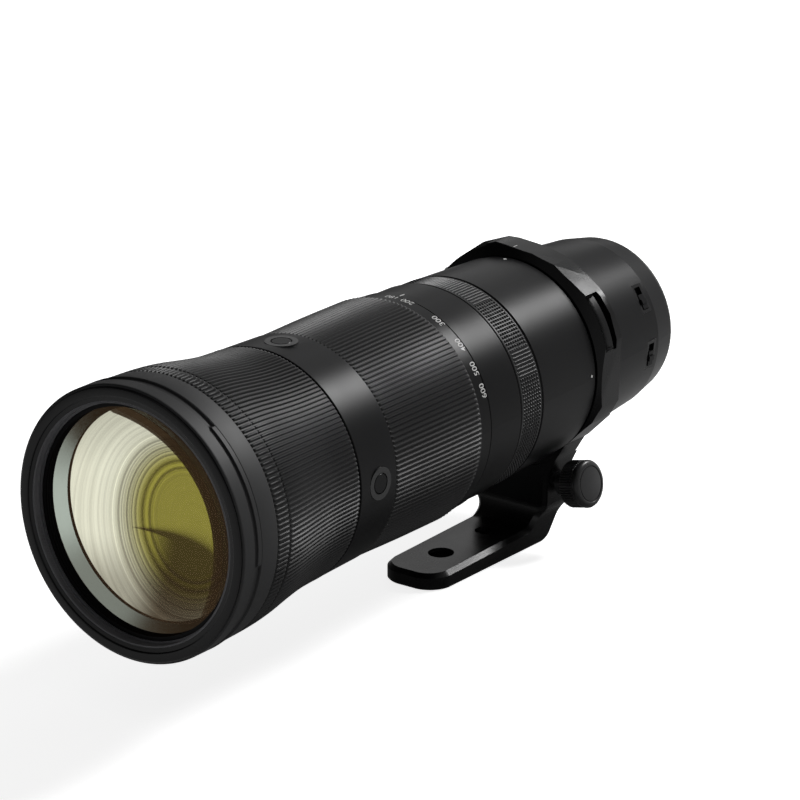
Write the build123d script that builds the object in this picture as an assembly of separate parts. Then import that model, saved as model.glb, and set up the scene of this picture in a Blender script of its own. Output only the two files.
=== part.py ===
from build123d import *
import os
from math import cos, pi, radians, sin, sqrt, tan

# Millimetres. The optical axis lies along Y. The origin is the centre of the mount's flange face.
# A station is a distance from that face towards the front of the lens, so y = -station.

# clearances
ring_gap = 0.3            # end gap between a turning ring and its fixed neighbour
turn_clearance = 0.25     # radial clearance of a ring on the tube that it turns on
seat_clearance = 0.05     # radial clearance between two fixed pieces, one seated in the other
slide_clearance = 0.3     # clearance round a sliding cell, cap or pin
overrun = 1.0             # how far a cutting solid runs past the face that it cuts

# lengths along the axis, from the flange face to the front
flange_thickness = 2.2
end_barrel_length = 52.2
collar_length = 14.2
collar_groove = 0.8
rear_barrel_length = 39.8
control_ring_length = 15.3
mid_barrel_length = 22.0
scale_band_length = 7.3
zoom_grip_length = 56.1
button_band_length = 23.3
focus_grip_length = 58.3
name_ring_length = 10.2
hood_ring_length = 10.8
front_lip_length = 0.9

# the three sizes that set the rest: filter thread, inner barrel and mount throat
filter_thread_r = 47.5
main_barrel_r = 42.6
throat_r = 23.8

# walls and edge breaks in common
shell_wall = 2.4
edge_break = 0.6
fine_break = 0.3

# outside of the rings, each measured from the tube or seat under it
main_barrel_wall = 2.0
control_ring_wall = 2.55
control_ring_step = 0.6
control_lip_length = 1.2
mid_barrel_wall = 3.05
mid_barrel_step = 0.8
mid_step_inset = 5.5
sleeve_wall = 2.6
scale_band_wall = 1.4
band_rear_wall = 4.95
band_front_wall = 5.65
focus_tube_wall = 3.3
focus_sleeve_wall = 0.65

# ribs moulded on the two rubber grips, and the rubber under them
zoom_rib_count = 150
focus_rib_count = 168
rib_depth = 0.7
zoom_rubber_wall = 1.7
focus_rubber_wall = 0.9
zoom_rear_drop = 0.2
zoom_front_drop = 0.6
zoom_swell_share = 0.35

# front ring, hood bayonet and name ring
hood_ring_wall = 5.05
name_ring_drop = 0.3
focus_grip_drop = 0.4
front_lip_drop = 1.0
front_tube_step = 0.4
front_tube_web = 2.4
hood_channel_depth = 0.8
hood_channel_length = 3.8
hood_rib_length = 1.6
hood_rib_count = 3
hood_rib_turn = 96.0
hood_rib_angle = 5.0

# front glass and its ring
front_glass_inset = 1.5
front_glass_edge = 6.0
front_glass_depth = 9.2
front_glass_bulge = 5.1
front_glass_back_bulge = 1.8
second_glass_inset = 1.6
second_glass_edge = 6.0
second_glass_bulge = 1.6
second_glass_lip = 1.2
glass_space = 3.2
retainer_length = 4.2
retainer_step = 0.8
retainer_step_count = 3
thread_length = 4.0

# zoom mechanism: a cam barrel outside a slotted guide tube, and two sliding lens cells
zoom_turn = 70.0
cam_space = 3.6
cam_wall = 1.6
cam_pin_r = 2.0
cam_pin_count = 3
cam_pin_angle = 30.0
cam_slot_steps = 5
guide_wall = 1.7
guide_flange_thickness = 2.4
variator_travel = 24.0
variator_length = 18.0
variator_wall = 6.2
variator_inset = 5.1
compensator_travel = 10.0
compensator_length = 14.0
compensator_wall = 9.2
cell_spacing = 44.0
cell_wall = 2.4
key_r = 2.5
zoom_key_angle = 200.0

# iris
iris_spacing = 18.5
iris_guide_space = 5.5
iris_thickness = 6.0
iris_bore_r = 21.0
iris_blade_overlap = 6.0
iris_blade_count = 9
iris_blade_thickness = 0.4
iris_blade_gap = 0.5
iris_lead_share = 1.4

# focus group, its rods and motor
focus_group_spacing = 29.0
focus_cell_length = 9.0
focus_glass_r = 19.0
focus_cell_wall = 5.0
rod_r = 1.6
rod_inset = 3.0
rod_ear_r = 3.4
rod_angles = (60.0, 240.0)
motor_r = 6.0
motor_shaft_r = 1.5
motor_length = 22.0

# stabiliser
stabiliser_inset = 13.3
stabiliser_length = 11.0
stabiliser_glass_r = 17.0
stabiliser_space = 8.0

# rear lens cell and board
rear_cell_length = 34.0
rear_cell_flange_inset = 2.3
rear_glass_r = 19.0
board_inset = 1.6
board_thickness = 1.2

# rear barrel, with the collar's seat on its tail
collar_seat_drop = 1.9
collar_seat_wall = 2.6
rear_barrel_step = 2.6
rear_barrel_rise = 1.5
spigot_length = 7.2
tail_spigot_length = 9.6
tail_spigot_step = 1.2

# end barrel
end_barrel_front_drop = 0.3
end_rim_step = 1.5
end_rim_length = 4.1
end_cone_inset = 13.0
end_cone_step = 2.4
mount_seat_width = 4.8
mount_seat_depth = 4.8

# function buttons
button_count = 4
button_inset = 11.0
button_r = 4.0
button_height = 3.6
button_crown = 0.25
button_travel = 0.7
bezel_r = 6.6
bezel_height = 1.5
bezel_proud = 0.25

# tripod collar
collar_edge_wall = 5.45
collar_lug_height = 2.2
collar_front_rise = 0.2
collar_chamfer = 1.0
collar_front_slope = 2.8
lug_angles = (27.8, 124.0)
lug_pocket_turn = 30.5
lug_pocket_wall = 1.45
lug_bar_depth = 3.6
lug_slot_height = 3.0
lug_lip = 2.9
pedestal_length = 17.0
pedestal_bevel = 1.8
pedestal_half_width = 20.3
pedestal_neck_half_width = 19.2
pedestal_flare = 7.2
pedestal_side_flare = 2.4
pedestal_side_height = 4.8
pedestal_join_share = 0.72
pedestal_middle_rise = 0.4
pedestal_neck_drop = 4.0
pedestal_base_drop = 11.5
pedestal_base_half_width = 18.9

# foot, measured from the knob's station and from the pedestal's lower face
foot_half_width = 15.0
foot_front_reach = 80.5
foot_back_reach = 8.5
foot_heel_reach = 1.5
foot_heel_r = 8.0
foot_post_reach = 8.5
foot_blend_r = 8.5
foot_bend_rise = 2.0
foot_bend_inset = 0.5
foot_rear_drop = 9.0
foot_front_fall = 1.6
foot_rear_thickness = 8.5
foot_back_height = 13.0
foot_corner_r = 11.0
foot_bevel = 1.8
foot_chamfer = 0.6
large_thread_r = 4.76
large_thread_inset = 24.2
small_thread_r = 3.175
thread_spacing = 30.2
thread_chamfer = 0.7
thread_step = 1.2
foot_screw_r = 1.5
foot_screw_head_r = 2.75
foot_screw_head_depth = 3.0
foot_screw_spacing = 17.0
foot_screw_reach = 5.6
foot_screw_grip = 5.0
foot_screw_bite = 6.0
screw_socket_sides = 6

# collar lock: a knob on a screw whose axis rises outwards
knob_inset = 6.8
knob_drop_wall = 4.1
knob_tilt = 12.0
knob_r = 10.1
knob_reach = 15.7
knob_length = 9.8
knob_edge = 1.0
knob_groove_inset = 3.0
knob_neck_r = 5.2
knob_neck_length = 5.4
lock_screw_r = 2.5
lock_screw_length = 35.8
shoe_r = 3.8

# camera mount
bayonet_wall = 2.1
bayonet_length = 5.2
claw_height = 1.4
claw_thickness = 1.8
claw_count = 4
claw_turn = 48.0
mount_flange_width = 7.1
end_barrel_mount_step = 2.1
contact_count = 11
contact_pitch_turn = 6.0
contact_r = 0.7
contact_sides = 8
contact_height = 0.8
contact_block_depth = 3.4
contact_angle = 270.0
baffle_thickness = 1.2
baffle_half_width = 16.0
baffle_half_height = 11.0
rear_element_inset = 7.8
rear_element_length = 4.4
mount_screw_r = 1.3
mount_screw_head_r = 1.9
mount_screw_count = 4
mount_screw_angle = 45.0
mount_screw_inset = 3.0
mount_screw_length = 6.0
gasket_r = 1.0

# switches on the end barrel
switch_angles = (31.0, -6.5)
switch_inset = 18.8
switch_length = 6.4
switch_width = 3.2
switch_height = 1.9
switch_travel = 3.0
switch_proud = 0.6
switch_bar_length = 2.2
switch_plate_length = 12.6
switch_plate_width = 6.6
switch_plate_thickness = 1.6
switch_plate_proud = 0.2

# stations that follow from the lengths
end_barrel_front = flange_thickness + end_barrel_length
collar_rear = end_barrel_front + ring_gap
collar_front = collar_rear + collar_length
rear_barrel_rear = collar_front + collar_groove
rear_barrel_front = rear_barrel_rear + rear_barrel_length
control_rear = rear_barrel_front + ring_gap
control_front = control_rear + control_ring_length
mid_rear = control_front + ring_gap
mid_front = mid_rear + mid_barrel_length
scale_rear = mid_front + ring_gap
scale_front = scale_rear + scale_band_length
zoom_front = scale_front + zoom_grip_length
band_rear = zoom_front + ring_gap
band_front = band_rear + button_band_length
focus_rear = band_front + ring_gap
focus_front = focus_rear + focus_grip_length
name_rear = focus_front + ring_gap
name_front = name_rear + name_ring_length
hood_front = name_front + hood_ring_length
lens_front = hood_front + front_lip_length
button_station = band_rear + button_inset
switch_station = flange_thickness + switch_inset

# stations of the inner groups, from the rear and from the zoom ring
rear_cell_rear = rear_barrel_rear + rear_cell_flange_inset - rear_cell_length
board_station = rear_cell_rear + board_inset
stabiliser_station = rear_barrel_rear + stabiliser_inset
focus_group_station = stabiliser_station + focus_group_spacing
iris_station = focus_group_station + iris_spacing
guide_rear_station = iris_station + iris_guide_space
variator_station = zoom_front - variator_inset
compensator_station = variator_station - cell_spacing
zoom_key_station = variator_station - cell_spacing / 2
guide_front_station = variator_station + variator_length

# radii of the middle, outwards from the main barrel
ring_bore_r = main_barrel_r + turn_clearance
fixed_bore_r = main_barrel_r + seat_clearance
control_ring_r = ring_bore_r + control_ring_wall
mid_barrel_rear_r = fixed_bore_r + mid_barrel_wall
mid_barrel_front_r = mid_barrel_rear_r + mid_barrel_step
sleeve_r = ring_bore_r + sleeve_wall
sleeve_seat_r = sleeve_r + seat_clearance
scale_band_r = sleeve_seat_r + scale_band_wall
zoom_grip_r = sleeve_seat_r + zoom_rubber_wall + rib_depth
button_band_rear_r = fixed_bore_r + band_rear_wall
button_band_front_r = fixed_bore_r + band_front_wall
button_seat_r = (button_band_rear_r + button_band_front_r) / 2
focus_tube_r = fixed_bore_r + focus_tube_wall
focus_bore_r = focus_tube_r + turn_clearance
rubber_inset = focus_rubber_wall + rib_depth
sleeve_inset = rubber_inset + seat_clearance
focus_grip_rear_r = focus_bore_r + focus_sleeve_wall + sleeve_inset

# radii of the front, from the filter thread
filter_ring_r = filter_thread_r + shell_wall
hood_bore_r = filter_ring_r + seat_clearance
hood_ring_r = hood_bore_r + hood_ring_wall
hood_channel_r = hood_ring_r - hood_channel_depth
name_ring_r = hood_ring_r - name_ring_drop
front_lip_r = hood_ring_r - front_lip_drop
focus_grip_front_r = name_ring_r - focus_grip_drop
front_tube_r = filter_ring_r + front_tube_step
front_glass_r = filter_thread_r - front_glass_inset
glass_seat_r = front_glass_r + seat_clearance
second_glass_r = front_glass_r - second_glass_inset
retainer_r = glass_seat_r + retainer_step

# radii inside the main barrel
main_bore_r = main_barrel_r - main_barrel_wall
flange_r = main_bore_r - seat_clearance
cam_barrel_r = main_bore_r - cam_space
cam_bore_r = cam_barrel_r - cam_wall
guide_r = cam_bore_r - turn_clearance
guide_bore_r = guide_r - guide_wall
cell_r = guide_bore_r - turn_clearance
cam_slot_r = cam_pin_r + slide_clearance
variator_glass_r = cell_r - variator_wall
compensator_glass_r = cell_r - compensator_wall
iris_open_r = iris_bore_r - iris_blade_overlap
focus_cell_r = focus_glass_r + focus_cell_wall
rod_circle_r = focus_cell_r + rod_inset
stabiliser_frame_r = stabiliser_glass_r + stabiliser_space
button_well_r = button_r + slide_clearance

# radii of the rear
collar_seat_r = main_barrel_r - collar_seat_drop
collar_bore_r = collar_seat_r + turn_clearance
seat_bore_r = collar_seat_r - collar_seat_wall
rear_barrel_rear_r = collar_seat_r + rear_barrel_step
rear_barrel_front_r = rear_barrel_rear_r + rear_barrel_rise
rear_bore_r = rear_barrel_rear_r - shell_wall
tail_spigot_r = collar_seat_r - tail_spigot_step
bayonet_r = throat_r + bayonet_wall
claw_r = bayonet_r + claw_height
mount_outer_r = bayonet_r + mount_flange_width
mount_bore_r = mount_outer_r - mount_seat_width
mount_screw_circle_r = mount_outer_r - mount_screw_inset
end_barrel_rear_r = mount_outer_r + end_barrel_mount_step
end_cone_r = end_barrel_rear_r + end_cone_step
end_cone_bore_r = end_cone_r - shell_wall
end_barrel_front_r = collar_seat_r - end_barrel_front_drop
end_barrel_rim_r = collar_seat_r + end_rim_step
end_cone_station = flange_thickness + end_cone_inset
end_rim_station = end_barrel_front - end_rim_length
tail_spigot_station = end_barrel_front - tail_spigot_length
rear_element_r = throat_r - rear_element_inset
throat_seat_r = throat_r - seat_clearance
switch_seat_r = end_cone_r + switch_plate_proud - switch_plate_thickness

# collar, foot and knob
collar_edge_r = collar_bore_r + collar_edge_wall
collar_lug_r = collar_edge_r + collar_lug_height
collar_front_r = rear_barrel_rear_r + collar_front_rise
lug_pocket_floor_r = collar_bore_r + lug_pocket_wall
knob_station = collar_rear + knob_inset
knob_drop = collar_edge_r + knob_drop_wall
knob_face_x = pedestal_half_width + knob_reach
pedestal_middle = collar_edge_r - pedestal_middle_rise
pedestal_neck = pedestal_middle + pedestal_neck_drop
pedestal_bottom = knob_drop + pedestal_base_drop
foot_bend_top = pedestal_bottom - foot_bend_rise
foot_front_station = knob_station + foot_front_reach
foot_back_station = knob_station - foot_back_reach
foot_heel_station = knob_station + foot_heel_reach
foot_post_station = knob_station + foot_post_reach
foot_rear_top = pedestal_bottom + foot_rear_drop
foot_front_top = foot_rear_top + foot_front_fall
foot_bottom = foot_rear_top + foot_rear_thickness
foot_bend_low = foot_rear_top - foot_bend_inset
foot_back_bottom = foot_bottom - foot_back_height
large_thread_station = foot_front_station - large_thread_inset
small_thread_station = large_thread_station - thread_spacing
foot_slope = foot_front_fall / (foot_front_station - foot_post_station)


def turned(*points):
    # solid of revolution about the axis; each point is (radius, station)
    outline = Polyline(*[(r, -s) for r, s in points], close=True)
    return revolve(make_face(outline), Axis.Y)


def tube(inner, outer, rear, front, rear_break=0.0, front_break=0.0):
    # plain ring, with its outer edges broken where a break is given
    points = [(inner, rear), (outer - rear_break, rear)]
    if rear_break:
        points.append((outer, rear + rear_break))
    if front_break:
        points.append((outer, front - front_break))
    points += [(outer - front_break, front), (inner, front)]
    return turned(*points)


def section(station):
    # plane across the axis: its x is X, its y is Z, and it extrudes towards the front
    return Plane(origin=(0, -station, 0), x_dir=(1, 0, 0), z_dir=(0, -1, 0))


def around(angle, piece):
    # turn a piece about the axis, from +X towards +Z
    return Rot(0, -angle, 0) * piece


def radial(angle, station):
    # plane whose normal points outwards from the axis at this angle and station
    out = (cos(radians(angle)), 0, sin(radians(angle)))
    return Plane(origin=(0, -station, 0), x_dir=(0, -1, 0), z_dir=out)


def radial_pin(angle, station, radius, low, high):
    # cylinder along a radius, from the low to the high radius
    return extrude(radial(angle, station).offset(low) * Circle(radius), high - low)


def sector(inner, outer, rear, front, middle_angle, turn):
    # part of a ring, as wide as the turn, centred on the middle angle
    outline = Polyline((inner, -rear), (outer, -rear), (outer, -front), (inner, -front), close=True)
    piece = revolve(make_face(outline), Axis.Y, revolution_arc=turn)
    return around(middle_angle + turn / 2, piece)


def sag(radius, bulge, at):
    # how far a spherical face of this rim radius and bulge falls away at a given radius
    sphere_r = (radius**2 + bulge**2) / (2 * bulge)
    return sphere_r - sqrt(sphere_r**2 - at**2)


def face_edge(radius, station, bulge):
    # spherical face from the axis to the rim at a station; a positive bulge swells to the front
    top = (0, -(station + bulge))
    rim = (radius, -station)
    fall = sag(radius, abs(bulge), radius / 2) * (1 if bulge > 0 else -1)
    return ThreePointArc(top, (radius / 2, -(station + bulge - fall)), rim)


def glass(radius, rear, front, rear_bulge, front_bulge):
    # lens element; both bulges are counted towards the front
    back = face_edge(radius, rear, rear_bulge)
    face = face_edge(radius, front, front_bulge)
    rim = Line((radius, -rear), (radius, -front))
    axis = Line((0, -(rear + rear_bulge)), (0, -(front + front_bulge)))
    return revolve(make_face(Curve() + [back, rim, face, axis]), Axis.Y)


def ribbed_outline(station, tip_r, count):
    # closed outline with one tip and one root for each rib
    points = []
    for k in range(count):
        tip = 2 * pi * k / count
        root = tip + pi / count
        root_r = tip_r - rib_depth
        points.append((tip_r * cos(tip), tip_r * sin(tip)))
        points.append((root_r * cos(root), root_r * sin(root)))
    return section(station) * make_face(Polyline(*points, close=True))


def polar_outline(points):
    # closed outline through (angle, radius) corners
    corners = [(r * cos(radians(a)), r * sin(radians(a))) for a, r in points]
    return make_face(Polyline(*corners, close=True))


def on_circle(radius, angles):
    # points on a circle about the axis, as (x, z)
    return [(radius * cos(radians(a)), radius * sin(radians(a))) for a in angles]


# front group

def front_filter_ring():
    # threaded filter ring with a thin outer lip
    thread_rear = lens_front - thread_length
    return turned((retainer_r, name_front), (filter_ring_r, name_front), (filter_ring_r, hood_front),
                  (front_lip_r, hood_front), (front_lip_r, lens_front - fine_break),
                  (front_lip_r - fine_break, lens_front), (filter_thread_r + edge_break, lens_front),
                  (filter_thread_r, lens_front - edge_break), (filter_thread_r, thread_rear),
                  (retainer_r, thread_rear))


def hood_bayonet_ring():
    # outer ring with a channel for the hood and three bayonet ribs that stand in it
    channel_rear = name_front + edge_break
    channel_front = channel_rear + hood_channel_length
    ring = turned((hood_bore_r, name_front), (hood_ring_r - fine_break, name_front),
                  (hood_channel_r, channel_rear), (hood_channel_r, channel_front),
                  (hood_ring_r, channel_front),
                  (hood_ring_r, hood_front - edge_break), (hood_ring_r - edge_break, hood_front),
                  (hood_bore_r, hood_front))
    for k in range(hood_rib_count):
        middle = hood_rib_angle + 360 * k / hood_rib_count
        ring += sector(hood_channel_r - edge_break, hood_ring_r, name_front + fine_break,
                       channel_rear + hood_rib_length, middle, hood_rib_turn)
    return ring


def name_ring():
    # bare ring behind the hood bayonet, a little narrower than the hood ring
    return tube(front_tube_r + seat_clearance, name_ring_r, name_rear, name_front, fine_break, fine_break)


def front_glass_rear():
    # station of the front element's rear edge
    return lens_front - front_glass_depth - front_glass_edge


def front_element():
    rear = front_glass_rear()
    return glass(front_glass_r, rear, rear + front_glass_edge, front_glass_back_bulge, front_glass_bulge)


def front_retainer():
    # stepped baffle ring that holds the front element against its seat
    rear = front_glass_rear() + front_glass_edge + ring_gap
    inner = front_glass_r - retainer_step
    outer = retainer_r - seat_clearance
    step = retainer_length / retainer_step_count
    points = [(outer, rear), (inner, rear)]
    for k in range(retainer_step_count):
        middle = rear + (k + 0.5) * step
        points += [(inner + retainer_step / 2, middle), (inner, middle), (inner, middle + step / 2)]
    points.append((outer, rear + retainer_length))
    return turned(*points)


def second_element():
    rear = front_glass_rear() - glass_space - second_glass_edge + slide_clearance
    return glass(second_glass_r, rear, rear + second_glass_edge, -second_glass_bulge, second_glass_bulge)


# focus ring and the tube that carries it

# stations along the focus ring, as a share of its length, with the share of its rise reached there
focus_profile_shares = ((0.0, 0.0), (0.28, 0.12), (0.72, 0.80), (1.0, 1.0))
focus_tube_shares = (0.33, 0.79)


def focus_radius(length_share, rise_share, inset):
    # point on the flared outline of the focus ring, set in from the rib tips
    rise = focus_grip_front_r - focus_grip_rear_r
    return (focus_grip_rear_r + rise * rise_share - inset, focus_rear + focus_grip_length * length_share)


def tube_cone():
    # stations where the front tube begins and ends to widen
    rear_share, front_share = focus_tube_shares
    return focus_rear + focus_grip_length * rear_share, focus_rear + focus_grip_length * front_share


def front_tube():
    # fixed tube under the focus ring: wide in front for the glass, narrow behind, with an end web
    web_front = focus_rear + front_tube_web
    cone_rear, cone_front = tube_cone()
    glass_rear = front_glass_rear()
    lip_front = glass_rear - edge_break
    second_rear = glass_rear - glass_space - second_glass_edge
    second_seat_r = second_glass_r + seat_clearance
    wide_bore_r = front_tube_r - shell_wall
    lip_r = second_glass_r - second_glass_lip
    return turned((fixed_bore_r, band_front), (focus_tube_r, band_front), (focus_tube_r, cone_rear),
                  (front_tube_r, cone_front), (front_tube_r, name_front), (glass_seat_r, name_front),
                  (glass_seat_r, lip_front), (second_seat_r, lip_front), (second_seat_r, second_rear),
                  (lip_r, second_rear), (lip_r, second_rear - shell_wall),
                  (wide_bore_r, second_rear - shell_wall), (wide_bore_r, cone_front),
                  (focus_tube_r - shell_wall, cone_rear),
                  (focus_tube_r - shell_wall, web_front), (fixed_bore_r, web_front))


def focus_grip():
    # flared rubber grip: straight ribs that follow the outline of the ring
    faces = []
    for length_share, rise_share in focus_profile_shares:
        r, s = focus_radius(length_share, rise_share, 0)
        faces.append(ribbed_outline(s, r, focus_rib_count))
    hollow = [focus_radius(a, b, rubber_inset) for a, b in focus_profile_shares]
    rear = (hollow[0][0], hollow[0][1] - overrun)
    front = (hollow[-1][0], hollow[-1][1] + overrun)
    return loft(faces, ruled=True) - turned((0, rear[1]), rear, *hollow, front, (0, front[1]))


def focus_sleeve():
    # thin metal sleeve under the rubber, turning on the front tube
    outer = [focus_radius(a, b, sleeve_inset) for a, b in focus_profile_shares]
    cone_rear, cone_front = tube_cone()
    bore_front_r = front_tube_r + turn_clearance
    return turned((focus_bore_r, focus_rear), *outer, (bore_front_r, focus_front),
                  (bore_front_r, cone_front - edge_break), (focus_bore_r, cone_rear - edge_break))


# fixed housings between the rings

def button_angles():
    return [360 * k / button_count for k in range(button_count)]


def button_band():
    # tapered band with four wells for the function buttons
    band = turned((fixed_bore_r, band_rear), (button_band_rear_r - fine_break, band_rear),
                  (button_band_rear_r, band_rear + fine_break),
                  (button_band_front_r, band_front - fine_break),
                  (button_band_front_r - fine_break, band_front), (fixed_bore_r, band_front))
    floor_r = button_seat_r - button_height - button_travel - slide_clearance
    top_r = button_seat_r + overrun
    seat_r = button_seat_r - bezel_height
    for angle in button_angles():
        band -= radial_pin(angle, button_station, button_well_r, floor_r, top_r)
        band -= radial_pin(angle, button_station, bezel_r + seat_clearance, seat_r, top_r)
    return band


def button_bezels():
    rings = []
    low = button_seat_r - bezel_height
    high = button_seat_r + bezel_proud
    for angle in button_angles():
        ring = radial_pin(angle, button_station, bezel_r, low, high)
        rings.append(ring - radial_pin(angle, button_station, button_well_r, low - overrun, high + overrun))
    return Compound(children=rings)


def button(angle):
    # cap with a broken top edge, standing level with its bezel
    place = radial(angle, button_station).offset(button_seat_r - button_height)
    cap = extrude(place * Circle(button_r), button_height + button_crown)
    return chamfer(cap.faces().sort_by(Axis(place.origin, place.z_dir))[-1].edges(), button_crown)


def main_barrel():
    # fixed tube inside the zoom and control rings, slotted for the zoom key
    rear = rear_barrel_front - spigot_length
    front = focus_rear + front_tube_web / 2
    spigot_r = rear_bore_r - seat_clearance
    barrel = turned((flange_r, rear), (spigot_r, rear), (spigot_r, rear_barrel_front),
                    (main_barrel_r, rear_barrel_front), (main_barrel_r, front), (main_bore_r, front),
                    (main_bore_r, rear_barrel_front), (flange_r, rear_barrel_front))
    width = key_r + slide_clearance
    low, high = main_bore_r - overrun, main_barrel_r + overrun
    barrel -= sector(low, high, zoom_key_station - width, zoom_key_station + width,
                     zoom_key_angle + zoom_turn / 2, zoom_turn)
    for angle in (zoom_key_angle, zoom_key_angle + zoom_turn):
        barrel -= radial_pin(angle, zoom_key_station, width, low, high)
    return barrel


def mid_barrel():
    # fixed band between the zoom ring and the control ring, stepped near its front
    step = mid_front - mid_step_inset
    return turned((fixed_bore_r, mid_rear), (mid_barrel_rear_r - edge_break, mid_rear),
                  (mid_barrel_rear_r, mid_rear + edge_break), (mid_barrel_rear_r, step),
                  (mid_barrel_front_r, step + edge_break), (mid_barrel_front_r, mid_front - fine_break),
                  (mid_barrel_front_r - fine_break, mid_front), (fixed_bore_r, mid_front))


def rear_barrel():
    # smooth fixed barrel behind the control ring; its narrow tail is the collar's seat
    floor = rear_barrel_rear + shell_wall
    return turned((seat_bore_r, tail_spigot_station), (tail_spigot_r, tail_spigot_station),
                  (tail_spigot_r, end_barrel_front), (collar_seat_r, end_barrel_front),
                  (collar_seat_r, rear_barrel_rear), (rear_barrel_rear_r - edge_break, rear_barrel_rear),
                  (rear_barrel_rear_r, rear_barrel_rear + edge_break),
                  (rear_barrel_front_r, rear_barrel_front - edge_break),
                  (rear_barrel_front_r - edge_break, rear_barrel_front), (rear_bore_r, rear_barrel_front),
                  (rear_bore_r, floor), (seat_bore_r, floor))


def end_barrel():
    # barrel behind the collar, narrowing to the mount, with pockets for the switch plates
    spigot_r = tail_spigot_r + seat_clearance
    barrel = turned((mount_bore_r, flange_thickness), (end_barrel_rear_r - edge_break, flange_thickness),
                    (end_barrel_rear_r, flange_thickness + edge_break), (end_cone_r, end_cone_station),
                    (end_barrel_front_r, end_rim_station - edge_break),
                    (end_barrel_rim_r, end_rim_station + edge_break),
                    (end_barrel_rim_r, end_barrel_front - edge_break),
                    (end_barrel_rim_r - edge_break, end_barrel_front), (spigot_r, end_barrel_front),
                    (spigot_r, tail_spigot_station - ring_gap),
                    (end_cone_bore_r, tail_spigot_station - shell_wall), (end_cone_bore_r, end_cone_station),
                    (mount_bore_r, flange_thickness + mount_seat_depth))
    for angle in switch_angles:
        barrel -= switch_block(angle, switch_plate_length + 2 * seat_clearance,
                               switch_plate_width + 2 * seat_clearance, switch_seat_r, end_barrel_front_r)
    hole_length = flange_thickness / 2 + mount_screw_length + overrun
    for x, z in screw_places():
        barrel -= extrude(section(0) * Pos(x, z) * Circle(mount_screw_r + seat_clearance), hole_length)
    return barrel


def switch_block(angle, length, width, low, high):
    # box on a radius: its length lies round the barrel and its width along the axis
    plane = radial(angle, switch_station).offset(low)
    return extrude(plane * Rectangle(width, length), high - low)


def switch_plates():
    # two plates let into the barrel, each with a slot for its slider
    plates = []
    high = switch_seat_r + switch_plate_thickness
    slot_length = switch_length + switch_travel + 2 * slide_clearance
    for angle in switch_angles:
        plate = switch_block(angle, switch_plate_length, switch_plate_width, switch_seat_r, high)
        plate -= switch_block(angle, slot_length, switch_width + 2 * slide_clearance, switch_seat_r - overrun,
                              high + overrun)
        plates.append(plate)
    return Compound(children=plates)


def switch_slider(angle):
    # slider at the lower end of its slot, with a raised thumb bar
    plane = radial(angle, switch_station).offset(switch_seat_r + seat_clearance)
    place = plane * Pos(0, switch_travel / 2, 0)
    body = extrude(place * Rectangle(switch_width, switch_length), switch_height)
    bar = place * Pos(0, 0, switch_height) * Rectangle(switch_width, switch_bar_length)
    return body + extrude(bar, switch_proud)


# zoom ring and its mechanism

def zoom_grip():
    # slightly barrel-shaped rubber grip with straight ribs
    swell = scale_front + zoom_grip_length * zoom_swell_share
    ribs = loft([ribbed_outline(scale_front, zoom_grip_r - zoom_rear_drop, zoom_rib_count),
                 ribbed_outline(swell, zoom_grip_r, zoom_rib_count),
                 ribbed_outline(zoom_front, zoom_grip_r - zoom_front_drop, zoom_rib_count)], ruled=True)
    return ribs - tube(0, sleeve_seat_r, scale_front - overrun, zoom_front + overrun)


def zoom_sleeve():
    # sleeve under the grip and the focal-length band, drilled for the key
    sleeve = tube(ring_bore_r, sleeve_r, scale_rear, zoom_front)
    return sleeve - radial_pin(zoom_key_angle, zoom_key_station, key_r + seat_clearance, main_barrel_r,
                               sleeve_r - overrun)


def scale_band():
    # smooth band that carries the focal lengths
    return tube(sleeve_seat_r, scale_band_r, scale_rear, scale_front, edge_break, 0)


def zoom_key():
    # drive pin from the zoom sleeve, through the fixed barrel, to the cam barrel
    tip_r = sleeve_r - overrun - seat_clearance
    return radial_pin(zoom_key_angle, zoom_key_station, key_r, cam_barrel_r, tip_r)


def pin_angles():
    return [cam_pin_angle + 360 * k / cam_pin_count for k in range(cam_pin_count)]


def cam_slot(angle, start, travel):
    # slot that climbs rearwards by the travel as the barrel turns through the zoom range
    low, high = cam_bore_r - overrun, cam_barrel_r + overrun
    climb = travel / (radians(zoom_turn) * cam_barrel_r)
    half = cam_slot_r * sqrt(1 + climb**2)
    faces = []
    for k in range(cam_slot_steps + 1):
        share = k / cam_slot_steps
        turn = radians(angle - zoom_turn * share)
        across = Plane(origin=(0, -(start - travel * share), 0), x_dir=(cos(turn), 0, sin(turn)),
                       z_dir=(-sin(turn), 0, cos(turn)))
        faces.append(across * Pos((low + high) / 2, 0, 0) * Rectangle(high - low, 2 * half))
    slot = loft(faces, ruled=True)
    for share in (0, 1):
        slot += radial_pin(angle - zoom_turn * share, start - travel * share, cam_slot_r, low, high)
    return slot


def cam_barrel():
    # barrel with two sets of three helical slots, turned by the key
    rear = guide_rear_station + guide_flange_thickness + ring_gap
    front = guide_front_station - guide_flange_thickness - ring_gap
    barrel = tube(cam_bore_r, cam_barrel_r, rear, front)
    for angle in pin_angles():
        barrel -= cam_slot(angle, variator_station, variator_travel)
        barrel -= cam_slot(angle, compensator_station, compensator_travel)
    return barrel


def guide_tube():
    # fixed tube with straight slots; its rear flange seats in the main barrel
    rear = guide_rear_station
    front = guide_front_station
    body = turned((guide_bore_r, rear), (flange_r, rear), (flange_r, rear + guide_flange_thickness),
                  (guide_r, rear + guide_flange_thickness), (guide_r, front), (guide_bore_r, front))
    for angle in pin_angles():
        for start, travel in ((variator_station, variator_travel), (compensator_station, compensator_travel)):
            plane = radial(angle, start - travel / 2).offset(guide_bore_r - overrun)
            body -= extrude(plane * SlotCenterToCenter(travel, 2 * cam_slot_r), guide_wall + 2 * overrun)
    return body


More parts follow.
